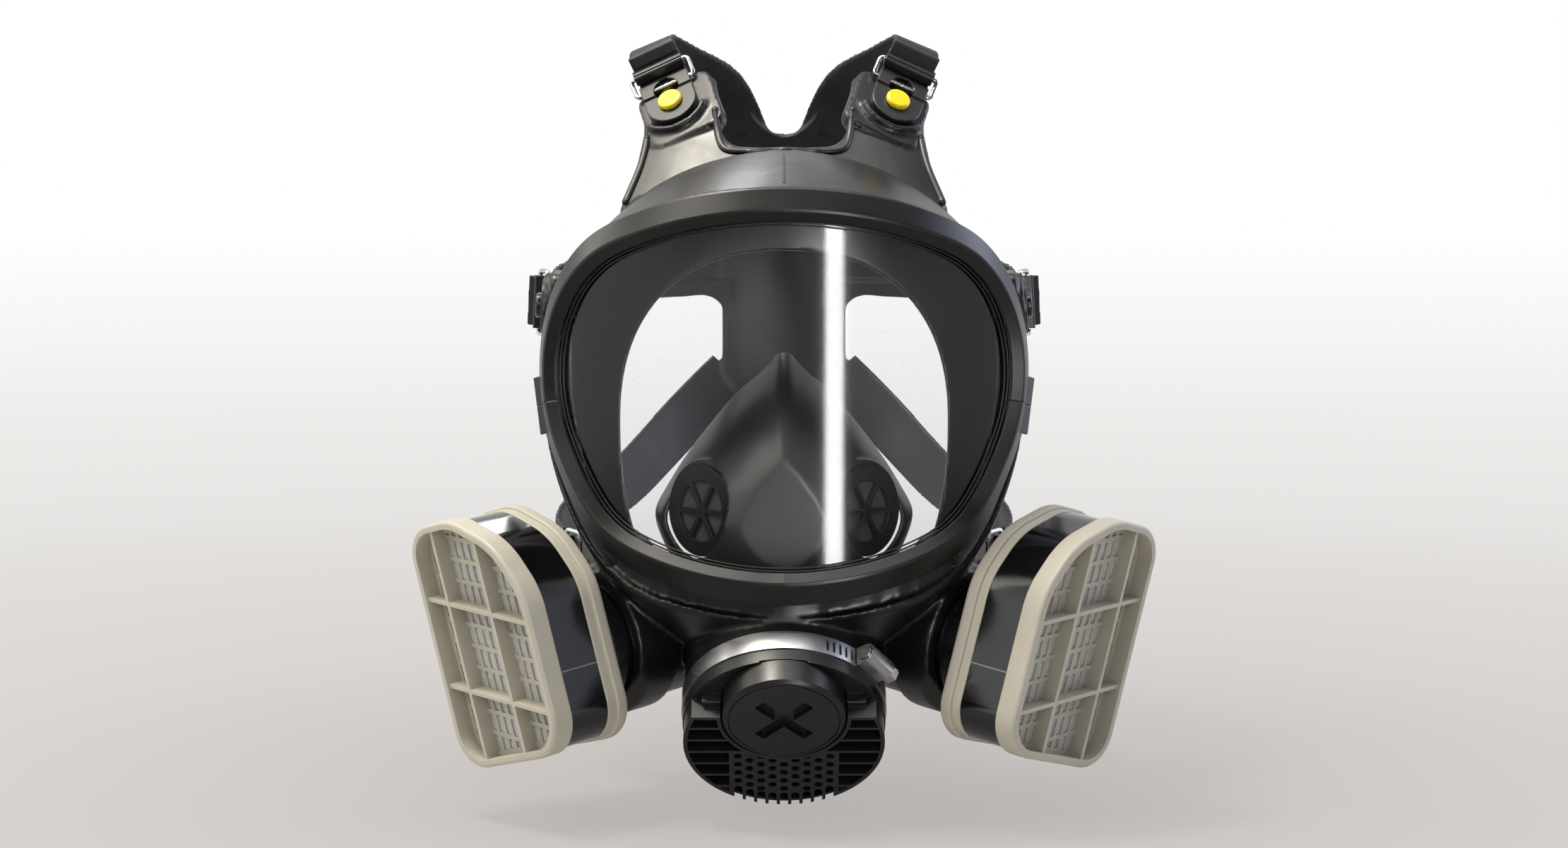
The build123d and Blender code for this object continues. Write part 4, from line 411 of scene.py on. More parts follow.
FINISHES: dict[str, Finish | ClearFinish] = {
    "facepiece_rubber": Finish("facepiece_rubber_satin", srgb(22, 22, 22), 0.35, worn=srgb(88, 87, 84),
                               grains=2600.0, depth=0.00001, rounding=0.0008, wear=0.1),
    "clear_lens": ClearFinish(),
    "frame_plastic": Finish("frame_nylon_satin", srgb(18, 18, 18), 0.34, worn=srgb(95, 94, 90),
                            grains=3000.0, depth=0.000006, rounding=0.0006, wear=0.12, uneven=0.05),
    "dark_steel": Finish("blackened_steel", srgb(60, 60, 62), 0.32, metallic=1.0, rounding=0.0002,
                         wear=0.4),
    "cup_rubber": Finish("cup_silicone_satin", srgb(22, 22, 22), 0.38, worn=srgb(80, 80, 78),
                         grains=2600.0, depth=0.000008, rounding=0.0008, wear=0.08),
    "outlet_plastic": Finish("outlet_plastic_textured", srgb(20, 20, 21), 0.40, worn=srgb(96, 95, 92),
                             grains=2400.0, depth=0.000014, rounding=0.0003, wear=0.16),
    "flap_rubber": Finish("flap_rubber_matte", srgb(48, 46, 44), 0.62, depth=0.000008, wear=0.0),
    "band_steel": Finish("band_steel_brushed", srgb(196, 196, 198), 0.26, worn=srgb(230, 230, 230),
                         pattern=Pattern.BRUSHED, metallic=1.0, depth=0.00003, wear=0.2, mottle=0.05),
    "harness_rubber": Finish("harness_rubber_grained", srgb(20, 20, 21), 0.5, worn=srgb(80, 79, 76),
                             grains=1500.0, depth=0.00004, rounding=0.0006, wear=0.1, dust=0.04),
    "button_yellow": Finish("button_yellow_gloss", srgb(236, 208, 10), 0.22, worn=srgb(250, 235, 120),
                            coat=0.3, depth=0.000004, rounding=0.0004, wear=0.12, mottle=0.03, uneven=0.04,
                            below=srgb(24, 24, 25)),
    "valve_plastic": Finish("valve_plastic_satin", srgb(20, 20, 21), 0.34, wear=0.12, rounding=0.0003,
                            worn=srgb(95, 94, 92)),
    "adapter_plastic": Finish("adapter_plastic_gloss", srgb(16, 16, 17), 0.26, worn=srgb(84, 84, 84),
                              coat=0.15, depth=0.000005, wear=0.12),
    "cartridge_plastic": Finish("cartridge_plastic_beige", srgb(176, 171, 158), 0.46,
                                worn=srgb(206, 202, 190), grains=1900.0, depth=0.000012, rounding=0.0004,
                                wear=0.3, dust=0.05, mottle=0.04),
    "label_black": Finish("label_film_gloss", srgb(9, 9, 10), 0.14, worn=srgb(70, 70, 70), coat=0.6,
                          grains=500.0, depth=0.000006, wear=0.1, uneven=0.05),
    "media_white": Finish("media_felt", srgb(196, 202, 212), 0.9, pattern=Pattern.FIBROUS, grains=1400.0,
                          depth=0.00012, wear=0.0, sheen=0.3),
    "buckle_plastic": Finish("buckle_plastic_satin", srgb(30, 30, 33), 0.34, worn=srgb(120, 119, 114),
                             depth=0.000006, rounding=0.0003, wear=0.3),
    "chrome_wire": Finish("chrome_wire_polished", srgb(215, 216, 220), 0.1, worn=srgb(230, 230, 230),
                          metallic=1.0, depth=0.000002, wear=0.1, uneven=0.05, mottle=0.03),
}


class Workshop:
    """Finishes made ready, and the calls that hand pieces over to the frame."""

    def __init__(self) -> None:
        """Builds every finish."""
        effects = Effects()
        self.materials = {slot: finish.build(effects) for slot, finish in FINISHES.items()}

    def dress(self, thing: bpy.types.Object, slot: str) -> None:
        """Gives an object the finish of a slot."""
        if not thing.data.materials:
            thing.data.materials.append(self.materials[slot])
        for holder in thing.material_slots:
            holder.material = self.materials[slot]

    def dress_nodes(self) -> None:
        """Gives every carried node the finish of its slot."""
        for part in frame["record"]["subparts"]:
            self.dress(frame["nodes"][part["node"]], part["material_slot"])

    def deliver(self, piece: bpy.types.Object, body: str, slot: str,
                nodes: Iterable[str] = ()) -> bpy.types.Object:
        """Hands a finished piece over.

        Args:
            piece: Object at the origin, unturned and unscaled.
            body: Body that it rides on.
            slot: Material slot that it takes its finish from.
            nodes: Nodes that it stands for.

        Returns:
            The same piece.
        """
        self.dress(piece, slot)
        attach(piece, body)
        if nodes:
            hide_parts(*nodes)
        LOG.info("piece %s on %s, %d faces", piece.name, body, len(piece.data.polygons))
        return piece


def new_object(name: str, mesh: bpy.types.Mesh) -> bpy.types.Object:
    """Puts a mesh in the scene as an object at the origin."""
    thing = bpy.data.objects.new(name, mesh)
    bpy.context.scene.collection.objects.link(thing)
    return thing


def from_form(name: str, form: bmesh.types.BMesh, smooth: float = 40.0) -> bpy.types.Object:
    """Turns a bmesh into an object.

    Args:
        name: Name of the object.
        form: Finished bmesh, which is freed.
        smooth: Edges sharper than this many degrees stay sharp.

    Returns:
        The object.
    """
    mesh = bpy.data.meshes.new(name)
    form.to_mesh(mesh)
    form.free()
    mesh.shade_smooth()
    mesh.set_sharp_from_angle(angle=math.radians(smooth))
    return new_object(name, mesh)


def apply_modifiers(thing: bpy.types.Object) -> None:
    """Makes an object's modifiers part of its mesh."""
    graph = bpy.context.evaluated_depsgraph_get()
    graph.update()
    made = bpy.data.meshes.new_from_object(thing.evaluated_get(graph))
    thing.modifiers.clear()
    thing.data = made


def sheet(columns: Sequence[Sequence[Vector]], thickness: float) -> bpy.types.Mesh:
    """Sheet of rubber through a grid of points.

    Args:
        columns: Columns of points, all of one length.
        thickness: Thickness of the rubber.

    Returns:
        The sheet as a closed mesh.
    """
    form = bmesh.new()
    grid = [[form.verts.new(point) for point in column] for column in columns]
    for left, right in zip(grid, grid[1:]):
        for i in range(len(left) - 1):
            form.faces.new((left[i], right[i], right[i + 1], left[i + 1]))
    bmesh.ops.recalc_face_normals(form, faces=form.faces[:])
    bmesh.ops.solidify(form, geom=form.faces[:], thickness=thickness)
    bmesh.ops.recalc_face_normals(form, faces=form.faces[:])
    mesh = bpy.data.meshes.new("sheet")
    form.to_mesh(mesh)
    form.free()
    return mesh


def merged_copy(node: str, name: str, webs: Sequence[bpy.types.Mesh] = ()) -> bpy.types.Object:
    """Copy of a carried node whose loose triangles are joined into one skin, with webs added."""
    form = bmesh.new()
    form.from_mesh(frame["nodes"][node].data)
    bmesh.ops.remove_doubles(form, verts=form.verts[:], dist=WELD)
    for web in webs:
        form.from_mesh(web)
    return from_form(name, form)


@dataclass(frozen=True)
class Mould:
    """How finely a soft piece is rebuilt and how much its edges are softened."""

    voxel: float
    rounds: int
    triangles: int


def remould(node: str, name: str, mould: Mould,
            webs: Sequence[bpy.types.Mesh] = ()) -> bpy.types.Object:
    """Copy of a soft solid with its edges softened as rubber from a mould.

    Args:
        node: Node to copy.
        name: Name of the piece.
        mould: Size of the cells that the form is rebuilt from, rounds of smoothing
            and most triangles that the piece may keep.
        webs: Closed meshes that are moulded in one with it.

    Returns:
        The new piece.
    """
    piece = merged_copy(node, name, webs)
    cells = piece.modifiers.new("cells", "REMESH")
    cells.mode = "VOXEL"
    cells.voxel_size = mould.voxel
    soften = piece.modifiers.new("soften", "SMOOTH")
    soften.factor = 0.5
    soften.iterations = mould.rounds
    apply_modifiers(piece)
    count = 2 * len(piece.data.polygons)
    if count > mould.triangles:
        thin = piece.modifiers.new("thin", "DECIMATE")
        thin.ratio = mould.triangles / count
        apply_modifiers(piece)
    piece.data.shade_smooth()
    return piece


def tube_along(name: str, points: Sequence[Vector], radius: float, closed: bool = False) -> bpy.types.Object:
    """Round bead along a smooth line through control points, with domed ends.

    Args:
        name: Name of the piece.
        points: Control points.
        radius: Radius of the bead.
        closed: Whether the line runs back to its start.

    Returns:
        The bead as a mesh object.
    """
    data = bpy.data.curves.new(name, "CURVE")
    data.dimensions = "3D"
    data.bevel_depth = radius
    data.bevel_resolution = 4
    data.use_fill_caps = True
    line = data.splines.new("NURBS")
    line.points.add(len(points) - 1)
    for control, point in zip(line.points, points):
        control.co = (*point, 1.0)
    line.order_u = 3
    line.use_endpoint_u = not closed
    line.use_cyclic_u = closed
    line.resolution_u = 8
    curve = bpy.data.objects.new(name, data)
    bpy.context.scene.collection.objects.link(curve)
    mesh = bpy.data.meshes.new_from_object(curve)
    bpy.data.objects.remove(curve)
    form = bmesh.new()
    form.from_mesh(mesh)
    for end in () if closed else (points[0], points[-1]):
        bmesh.ops.create_icosphere(form, subdivisions=3, radius=radius, matrix=Matrix.Translation(end))
    return from_form(name, form, BEAD_SMOOTH)


@dataclass(frozen=True)
class Outline:
    """Closed run of arcs round the lens, laid on the upright cylinder that the lens bends to."""

    arcs: tuple[Point2, ...] = (    # radius and turn in degrees
        (0.170, 21.0), (0.056, 94.0), (0.136, 12.5), (0.0535, 29.0), (0.1382675, 23.5))
    top: float = 0.0875
    lens_radius: float = 0.108
    axis_y: float = 0.011
    pitch: float = 0.004

    def half(self, inset: float, rise: float) -> list[Vector]:
        """Points from the top round to the chin on the +X side.

        Args:
            inset: How far inside the outline the points lie, measured along the lens.
            rise: How far in front of the lens's face they lie.

        Returns:
            The points, evenly spaced along each arc.
        """
        along, height, turned, points = 0.0, self.top, 0.0, []
        for radius, turn in self.arcs:
            start, end = math.radians(turned), math.radians(turned + turn)
            count = max(2, round(radius * math.radians(turn) / self.pitch))
            for i in range(count):
                here = math.radians(turned + turn * i / count)
                x = along + radius * (math.sin(here) - math.sin(start)) - inset * math.sin(here)
                z = height + radius * (math.cos(here) - math.cos(start)) - inset * math.cos(here)
                points.append(self._laid(x, z, rise))
            along += radius * (math.sin(end) - math.sin(start))
            height += radius * (math.cos(end) - math.cos(start))
            turned += turn
        return points + [self._laid(0.0, height + inset, rise)]

    def loop(self, inset: float, rise: float) -> list[Vector]:
        """Points right round the outline, without a repeated one."""
        half = self.half(inset, rise)
        return half + [mirrored(point) for point in half[-2:0:-1]]

    def _laid(self, along: float, height: float, rise: float) -> Vector:
        """Point of the lens's cylinder at a distance along it from its middle line."""
        angle, reach = along / self.lens_radius, self.lens_radius + rise
        return Vector((reach * math.sin(angle), self.axis_y - reach * math.cos(angle), height))


def mirrored(point: Vector) -> Vector:
    """The same point on the wearer's other side."""
    return Vector((-point.x, point.y, point.z))


def surface_of(thing: bpy.types.Object) -> BVHTree:
    """Surface of an object, to cast rays on."""
    return BVHTree.FromObject(thing, bpy.context.evaluated_depsgraph_get())


@dataclass
class Facepiece:
    """The rubber facepiece, with the beads on its forehead and the lips round the lens."""

    mould: Mould = Mould(0.0009, 4, 190_000)
    bead: float = 0.0014
    seam: float = 0.0004
    seam_top: float = 0.1
    seam_pitch: float = 0.0013
    seam_points: int = 9
    notch_line: tuple[Point2, ...] = (    # x and z of half the bead, from its free end inward
        (0.0253, 0.1175), (0.0247, 0.112), (0.0240, 0.107), (0.0222, 0.1028), (0.0180, 0.1018),
        (0.009, 0.1017), (0.0, 0.1017))
    edge_line: tuple[Point2, ...] = (     # x and z of the outer bead, down
        (0.0506, 0.1072), (0.0508, 0.1045), (0.0518, 0.0995), (0.0532, 0.0945), (0.0556, 0.0885),
        (0.0576, 0.0835))
    lips: tuple[Point3, ...] = (          # inset, rise and radius of each lip
        (0.01135, 0.00155, 0.00032), (0.01235, 0.00085, 0.0003))
    wall_top: float = -0.028
    wall_inset: float = 0.004
    wall_rise: float = -0.0045
    wall_sink: float = 0.0015
    wall_overlap: float = 0.003
    wall_thickness: float = 0.0028
    wall_rows: int = 4
    wall_search: tuple[int, int] = (4, 24)    # millimetres below the frame
    search_start: float = 0.02
    search_reach: float = 0.05
    view_start: float = -0.2
    missed: float = -0.01

    def build(self, shop: Workshop) -> None:
        """Makes and delivers the facepiece, its beads, its parting line and its lips."""
        blank = remould("face_blank", "facepiece", self.mould, [self._chin_wall()])
        shop.deliver(blank, "root", "facepiece_rubber", ["face_blank"])
        skin = surface_of(blank)
        half = [self._on_skin(skin, x, z) for x, z in self.notch_line]
        whole = [mirrored(point) for point in half[:-1]] + half[::-1]
        notch = tube_along("forehead_notch_bead", whole, self.bead)
        shop.deliver(notch, "root", "facepiece_rubber")
        for side in Side:
            points = [self._on_skin(skin, x * side.value, z) for x, z in self.edge_line]
            edge = tube_along(f"forehead_edge_bead_{side.tag}", points, self.bead)
            shop.deliver(edge, "root", "facepiece_rubber")
        middle = [self._on_skin(skin, 0.0, self.seam_top - self.seam_pitch * i)
                  for i in range(self.seam_points)]
        line = tube_along("forehead_parting_line", middle, self.seam)
        shop.deliver(line, "root", "facepiece_rubber")
        for number, (inset, rise, radius) in enumerate(self.lips, 1):
            path = Outline().loop(inset, rise)
            lip = tube_along(f"lens_gasket_lip_{number}", path, radius, closed=True)
            shop.deliver(lip, "root", "facepiece_rubber")

    def _chin_wall(self) -> bpy.types.Mesh:
        """Wall of rubber between the frame's underside and the tubes below it."""
        skin = surface_of(frame["nodes"]["face_blank"])
        columns = []
        for top in Outline().loop(self.wall_inset, self.wall_rise):
            low = self._body_below(skin, top) if top.z < self.wall_top else None
            if low is not None:
                columns.append([top.lerp(low, row / self.wall_rows) for row in range(self.wall_rows + 1)])
        return sheet(columns, self.wall_thickness)

    def _body_below(self, skin: BVHTree, top: Vector) -> Vector | None:
        """Point just inside the rubber that first comes below a point of the frame."""
        for step in range(*self.wall_search):
            start = Vector((top.x, top.y - self.search_start, top.z - step * MM))
            if skin.ray_cast(start, INWARD, self.search_reach)[0] is not None:
                start.z -= self.wall_overlap
                hit = skin.ray_cast(start, INWARD, self.search_reach)[0]
                return None if hit is None else hit + INWARD * self.wall_sink
        return None

    def _on_skin(self, skin: BVHTree, x: float, z: float) -> Vector:
        """Point of the front of the rubber at a place on the front view."""
        hit = skin.ray_cast(Vector((x, self.view_start, z)), INWARD)[0]
        return hit if hit is not None else Vector((x, self.missed, z))


@dataclass
class NoseCup:
    """The soft cup over the nose and mouth."""

    mould: Mould = Mould(0.0008, 8, 120_000)

    def build(self, shop: Workshop) -> None:
        """Makes and delivers the cup."""
        cup = remould("nose_cup", "nose_cup_soft", self.mould)
        shop.deliver(cup, "root", "cup_rubber", ["nose_cup"])


@dataclass
class Harness:
    """The rubber head harness, with its webs, and the strap ends in the buckles."""

    mould: Mould = Mould(0.0009, 6, 150_000)
    tail_mould: Mould = Mould(0.0004, 3, 40_000)
    web_thickness: float = 0.003
    notch_reach: float = 0.015
    notch_foot: float = 0.098
    notch_dip: float = 0.1135
    notch_rise: float = 0.010
    notch_columns: int = 10
    notch_rows: int = 8
    head_level: float = 0.1
    head_back: float = 0.1495
    head_slope: float = 0.75
    head_rounding: float = 4.0
    head_turn: float = 9.0
    window_corner: Point2 = (0.0255, 0.0458)
    window_round: float = 0.0105
    window_end: float = 0.062
    window_slope: float = -0.05
    window_steps: int = 12
    window_rows: int = 6
    window_turn: float = 89.0
    web_edge: Point2 = (0.0232, 0.0520)
    web_sink: float = 0.0015
    web_grade: float = 0.25
    search_start: float = 0.4

    def build(self, shop: Workshop) -> None:
        """Makes and delivers the harness and its six strap ends."""
        skin = surface_of(frame["nodes"]["harness"])
        webs = [self._notch_web()] + [self._window_web(skin, side) for side in Side]
        pad = remould("harness", "harness_soft", self.mould, webs)
        shop.deliver(pad, "root", "harness_rubber", ["harness"])
        for place in Place:
            for side in Side:
                where = f"{place.value}_{side.tag}"
                end = remould(f"strap_end_{where}", f"strap_tail_{where}", self.tail_mould)
                shop.deliver(end, f"buckle_{where}", "harness_rubber", [f"strap_end_{where}"])

    def _notch_web(self) -> bpy.types.Mesh:
        """Web that rounds off the notch between the two upper arms."""
        columns = []
        for i in range(-self.notch_columns, self.notch_columns + 1):
            share = i / self.notch_columns
            x = self.notch_reach * share
            height = self.notch_dip + self.notch_rise * share ** 2 - self.notch_foot
            levels = [self.notch_foot + height * j / self.notch_rows for j in range(self.notch_rows + 1)]
            columns.append([Vector((x, self._back_of_head(x, z), z)) for z in levels])
        return sheet(columns, self.web_thickness)

    def _back_of_head(self, x: float, z: float) -> float:
        """Depth at which the harness lies on the head, near the notch."""
        up = z - self.head_level
        return self.head_back - self.head_slope * up - self.head_rounding * up ** 2 - self.head_turn * x ** 2

    def _window_web(self, skin: BVHTree, side: Side) -> bpy.types.Mesh:
        """Web that rounds the upper inner corner of the window between pad and straps."""
        columns = []
        for (x0, z0), (x1, z1) in self._window_lines():
            shares = [j / self.window_rows for j in range(self.window_rows + 1)]
            spots = [(x0 + (x1 - x0) * share, z0 + (z1 - z0) * share) for share in shares]
            columns.append([self._on_strap(skin, side.value * x, z) for x, z in spots])
        return sheet(columns, self.web_thickness)

    def _window_lines(self) -> list[tuple[Point2, Point2]]:
        """Lines across the web, each from the window to the strap or the pad."""
        (corner_x, corner_z), curve = self.window_corner, self.window_round
        centre_x, centre_z = corner_x + curve, corner_z - curve
        lines = []
        for i in range(self.window_steps + 1):
            x = self.window_end + (centre_x - self.window_end) * i / self.window_steps
            lines.append(((x, corner_z + self.window_slope * (x - centre_x)), (x, self.web_edge[1])))
        for i in range(1, self.window_steps + 1):
            turn = math.radians(90.0 - self.window_turn * i / self.window_steps)
            reach = min((centre_x - self.web_edge[0]) / math.cos(turn),
                        (self.web_edge[1] - centre_z) / math.sin(turn))
            lines.append(tuple((centre_x - far * math.cos(turn), centre_z + far * math.sin(turn))
                               for far in (curve, reach)))
        return lines

    def _on_strap(self, skin: BVHTree, x: float, z: float) -> Vector:
        """Point just under the outside of the harness, carried down from the strap above."""
        edge = self.web_edge[1]
        hit = skin.ray_cast(Vector((x, self.search_start, edge)), FORWARD)[0]
        return Vector((x, hit.y - self.web_sink + self.web_grade * (edge - z), z))


@dataclass
class Flaps:
    """Rubber flaps and gaskets, remade with soft edges."""

    mould: Mould = Mould(0.00025, 3, 30_000)

    def build(self, shop: Workshop) -> None:
        """Makes and delivers every flap and gasket."""
        bodies = frame["record"]["behaviour"]["bodies"]
        for body, nodes in bodies.items():
            for node in nodes:
                if "flap" in node or "gasket" in node:
                    soft = remould(node, f"{node}_soft", self.mould)
                    shop.deliver(soft, body, "flap_rubber", [node])


@dataclass
class Cartridges:
    """The felt over the sorbent bed of each cartridge, pressed into the slots of the grille."""

    mould: Mould = Mould(0.0008, 2, 150_000)
    yaw: float = 45.0
    dip: float = 6.3
    hub: Point3 = (0.0763, -0.0673, -0.073)
    bed_front: float = 0.0255
    edge: float = 0.0009
    push: float = 0.0012
    fluff: float = 0.00018
    tufts: float = 900.0

    def build(self, shop: Workshop) -> None:
        """Makes and delivers the felt of both cartridges."""
        yaw, dip = math.radians(self.yaw), math.radians(self.dip)
        for side in Side:
            node = f"cartridge_media_{side.tag}"
            axis = Vector((side.value * math.sin(yaw) * math.cos(dip), -math.cos(yaw) * math.cos(dip),
                           -math.sin(dip)))
            hub = Vector((side.value * self.hub[0], self.hub[1], self.hub[2]))
            felt = remould(node, f"sorbent_felt_{side.tag}", self.mould)
            for vertex in felt.data.vertices:
                height = (vertex.co - hub).dot(axis)
                if height > self.bed_front - self.edge:
                    tuft = noise.noise(vertex.co * self.tufts)
                    vertex.co += axis * (self.push + self.fluff * tuft)
            shop.deliver(felt, f"cartridge_{side.tag}", "media_white", [node])


@dataclass
class Outlet:
    """Inside of the outlet's hood."""

    centre: Point3 = (0.0, -0.075, -0.0896)
    tilt: float = 42.0
    inner_radius: float = 0.0323
    outer_radius: float = 0.0331
    rear: float = 0.0100
    front: float = 0.0183
    half_angle: float = 40.0
    steps: int = 36

    def place(self) -> Matrix:
        """Matrix from the outlet's own axes, Z along the breath, to the frame's."""
        lean = math.radians(self.tilt)
        turn = Matrix(((1.0, 0.0, 0.0), (0.0, -math.sin(lean), -math.cos(lean)),
                       (0.0, math.cos(lean), -math.sin(lean)))).to_4x4()
        return Matrix.Translation(self.centre) @ turn

    def build(self, shop: Workshop) -> None:
        """Makes and delivers the curved wall behind the arches of the hood."""
        form = bmesh.new()
        start = Matrix.Rotation(math.radians(-90.0 - self.half_angle), 4, "Z")
        corners = ((self.inner_radius, self.rear), (self.outer_radius, self.rear),
                   (self.outer_radius, self.front), (self.inner_radius, self.front))
        section = [form.verts.new(start @ Vector((radius, 0.0, height))) for radius, height in corners]
        face = bmesh.ops.contextual_create(form, geom=section)["faces"]
        bmesh.ops.spin(form, geom=face + section, cent=(0.0, 0.0, 0.0), axis=(0.0, 0.0, 1.0),
                       dvec=(0.0, 0.0, 0.0), angle=math.radians(2 * self.half_angle), steps=self.steps,
                       use_merge=False)
        bmesh.ops.remove_doubles(form, verts=form.verts[:], dist=WELD)
        bmesh.ops.recalc_face_normals(form, faces=form.faces[:])
        bmesh.ops.transform(form, matrix=self.place(), verts=form.verts[:])
        shop.deliver(from_form("hood_inner_wall", form), "root", "outlet_plastic")


@dataclass(frozen=True)
class Lamp:
    """Soft rectangular lamp that the camera doesn't see."""

    name: str
    place: Point3
    size: Point2
    power: float
    colour: Point3 = (1.0, 1.0, 1.0)
    aim: Point3 = (0.0, -0.03, 0.02)
    on_matte: bool = True

    def build(self) -> None:
        """Adds the lamp to the scene."""
        data = bpy.data.lights.new(self.name, "AREA")
        data.shape = "RECTANGLE"
        data.size, data.size_y = self.size
        data.energy = self.power
        data.color = self.colour
        lamp = bpy.data.objects.new(self.name, data)
        lamp.location = self.place
        way = Vector(self.aim) - Vector(self.place)
        lamp.rotation_euler = way.to_track_quat("-Z", "Y").to_euler()
        lamp.visible_camera = False
        lamp.visible_diffuse = self.on_matte
        bpy.context.scene.collection.objects.link(lamp)


WARM: Point3 = (1.0, 0.95, 0.86)
LAMPS = (
    Lamp("key", (-0.95, -0.75, 0.95), (0.7, 0.7), 7.0, WARM),
    Lamp("forehead", (-0.45, -0.12, 1.2), (0.30, 0.26), 14.0, (1.0, 0.94, 0.80)),
    Lamp("left_kicker", (-0.85, 0.25, 0.75), (0.4, 0.9), 4.0, WARM),
    Lamp("right_cool", (1.0, 0.3, 0.4), (0.5, 0.9), 5.0, (0.74, 0.80, 1.0)),
    Lamp("overhead", (0.0, -0.15, 1.3), (1.1, 0.7), 8.0),
    Lamp("rear_softbox", (-0.11, 0.85, 0.73), (0.16, 0.12), 0.5, aim=(-0.07, -0.08, -0.03)),
    Lamp("front_fill", (0.0, -1.9, 0.7), (1.2, 0.8), 5.0, (1.0, 0.99, 0.97)),
    Lamp("strip", (0.197, -0.616, -0.012), (0.070, 0.235), 1.3, aim=(0.018, -0.096, -0.012),
         on_matte=False),
)


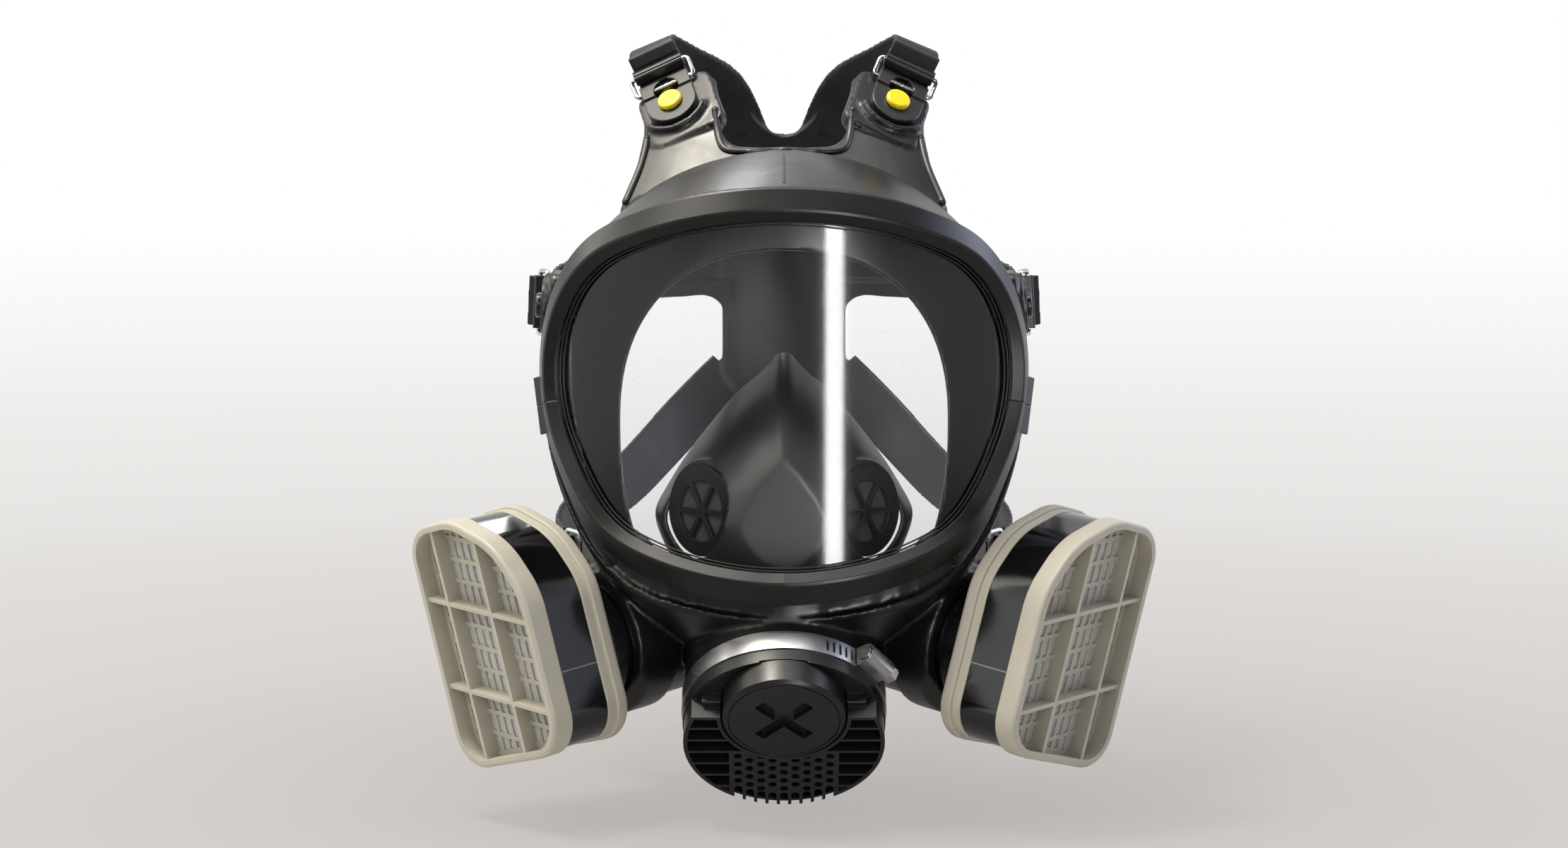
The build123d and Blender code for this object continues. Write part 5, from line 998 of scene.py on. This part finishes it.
@dataclass
class Studio:
    """Pale floor with painted shade near the object, plain white surroundings, soft lamps and the camera."""

    floor_height: float = -0.1312
    floor_radius: float = 40.0
    floor_corners: int = 96
    # display colours of the painted shade on the floor: darker near the object, white far off
    painted_floor_shades: tuple[tuple[float, tuple[int, int, int]], ...] = (    # far / (far + 1) and display colour
        (0.0, (203, 198, 195)), (0.09, (206, 201, 198)), (0.27, (221, 217, 215)),
        (0.655, (236, 235, 233)), (0.91, (250, 250, 249)))
    bounce: Colour = (0.6, 0.59, 0.58, 1.0)
    near_glow: float = 0.75
    front_glow: float = 0.06
    left_glow: float = 1.0
    right_glow: float = 0.7
    front_fade: Point2 = (-0.5, 0.3)
    side_fade: Point2 = (0.5, 1.6)
    lamp_level: float = 0.476
    shadow_reach: float = 0.25
    fade_end: float = 1.0
    room_fade: Point2 = (-0.5, 0.6)
    room_levels: Point2 = (0.05, 0.7)
    left_fade: Point2 = (-0.55, -0.95)
    right_fade: Point2 = (0.6, 0.95)
    cool_fade: Point2 = (0.3, 0.8)
    cool: Colour = (0.8, 0.84, 1.0, 1.0)
    eye: Point3 = (0.0, -1.0476, 0.0748)
    target: Point3 = (0.0, -0.05, 0.005)
    focal_length: float = 64.865
    sensor_width: float = 36.0
    clip: Point2 = (0.05, 60.0)

    def build(self) -> None:
        """Sets the floor, the world, the lamps and the camera."""
        self._floor()
        self._world()
        for lamp in LAMPS:
            lamp.build()
        self._camera()
        bpy.context.scene.view_settings.view_transform = "Standard"

    def _floor(self) -> None:
        """Floor with painted shade: pale warm grey near the object, white far off."""
        form = bmesh.new()
        bmesh.ops.create_circle(form, cap_ends=True, segments=self.floor_corners, radius=self.floor_radius)
        bmesh.ops.translate(form, verts=form.verts, vec=(0.0, 0.0, self.floor_height))
        floor = from_form("studio_floor", form)
        floor.data.materials.append(self._paper())

    def _paper(self) -> bpy.types.Material:
        """Paper of the floor, which glows a little so that lamps don't have to whiten it, and whose colour
        is painted shade, darker near the object.
        """
        material = bpy.data.materials.new("studio_floor_paper")
        material.use_nodes = True
        graph = Graph(material.node_tree)
        spot = graph.add("ShaderNodeSeparateXYZ", {0: graph.place()})
        far = graph.math("SQRT", graph.math("ADD", graph.math("POWER", spot.outputs["X"], 2.0),
                                            graph.math("POWER", spot.outputs["Y"], 2.0)))
        share = graph.math("DIVIDE", far, graph.math("ADD", far, 1.0))
        ramp = graph.add("ShaderNodeValToRGB", {0: share})
        ramp.color_ramp.elements[0].color = srgb(*self.painted_floor_shades[0][1])
        ramp.color_ramp.elements[1].color = WHITE
        for position, shade in self.painted_floor_shades[1:]:
            ramp.color_ramp.elements.new(position).color = srgb(*shade)
        # painted shade: the floor's glow and its lit colour are darker near the object and white far off
        shade = ramp.outputs["Color"]
        path = graph.add("ShaderNodeLightPath")
        plain = graph.math("MAXIMUM", path.outputs["Is Camera Ray"], path.outputs["Is Transmission Ray"])
        seen = graph.math("MAXIMUM", plain, path.outputs["Is Glossy Ray"])
        glow = graph.ramp(far, self.shadow_reach, self.fade_end, self.near_glow, 1.0)
        lamp_share = graph.math("MULTIPLY_ADD", glow, self.lamp_level, 1.0 - self.lamp_level)
        base = graph.blend(seen, self.bounce, graph.blend(lamp_share, shade, BLACK))
        gloss = graph.math("MULTIPLY", path.outputs["Is Glossy Ray"], self._mirrored_glow(graph, spot))
        glow = graph.math("MULTIPLY", glow, graph.math("MAXIMUM", plain, gloss))
        shader = graph.add("ShaderNodeBsdfPrincipled", {
            "Base Color": base, "Roughness": 0.9, "Specular IOR Level": 0.0, "Emission Color": shade,
            "Emission Strength": glow})
        graph.add("ShaderNodeOutputMaterial", {"Surface": shader.outputs[0]})
        return material

    def _mirrored_glow(self, graph: Graph, spot: bpy.types.Node) -> bpy.types.NodeSocket:
        """Share of the floor's glow that shiny pieces mirror: little of it in front of them."""
        low, high = self.side_fade
        behind = graph.ramp(spot.outputs["Y"], *self.front_fade, self.front_glow, 1.0)
        left = graph.ramp(spot.outputs["X"], -low, -high, 0.0, self.left_glow)
        right = graph.ramp(spot.outputs["X"], low, high, 0.0, self.right_glow)
        return graph.math("MAXIMUM", graph.math("MAXIMUM", behind, left), right)

    def _world(self) -> None:
        """White behind the object for the camera and clear pieces, a dim room in front of it."""
        world = bpy.data.worlds.new("studio_world")
        bpy.context.scene.world = world
        world.use_nodes = True
        graph = Graph(world.node_tree)
        way = graph.add("ShaderNodeTexCoord").outputs["Generated"]
        axes = graph.add("ShaderNodeSeparateXYZ", {0: way}).outputs
        room = graph.ramp(axes["Y"], *self.room_fade, *self.room_levels)
        left = graph.ramp(axes["X"], *self.left_fade, 0.0, self.left_glow)
        right = graph.ramp(axes["X"], *self.right_fade, 0.0, self.right_glow)
        room = graph.math("MAXIMUM", room, graph.math("MAXIMUM", left, right))
        cool = graph.blend(graph.ramp(axes["X"], *self.cool_fade), WHITE, self.cool)
        path = graph.add("ShaderNodeLightPath")
        seen = graph.math("MAXIMUM", path.outputs["Is Camera Ray"], path.outputs["Is Transmission Ray"])
        level = graph.math("MAXIMUM", seen, room)
        colour = graph.blend(seen, cool, WHITE)
        shader = graph.add("ShaderNodeBackground", {"Color": colour, "Strength": level})
        graph.add("ShaderNodeOutputWorld", {"Surface": shader.outputs[0]})

    def _camera(self) -> None:
        """Adds the camera and makes it the scene's own."""
        data = bpy.data.cameras.new("camera")
        data.sensor_width = self.sensor_width
        data.lens = self.focal_length
        data.clip_start, data.clip_end = self.clip
        camera = bpy.data.objects.new("camera", data)
        camera.location = self.eye
        way = Vector(self.target) - Vector(self.eye)
        camera.rotation_euler = way.to_track_quat("-Z", "Y").to_euler()
        bpy.context.scene.collection.objects.link(camera)
        bpy.context.scene.camera = camera


def main() -> None:
    """Builds the respirator and its studio."""
    logging.basicConfig(level=logging.INFO)
    Studio().build()
    shop = Workshop()
    shop.dress_nodes()
    for assembly in (Facepiece(), NoseCup(), Harness(), Flaps(), Cartridges(), Outlet()):
        assembly.build(shop)


if __name__ == "__main__":
    main()
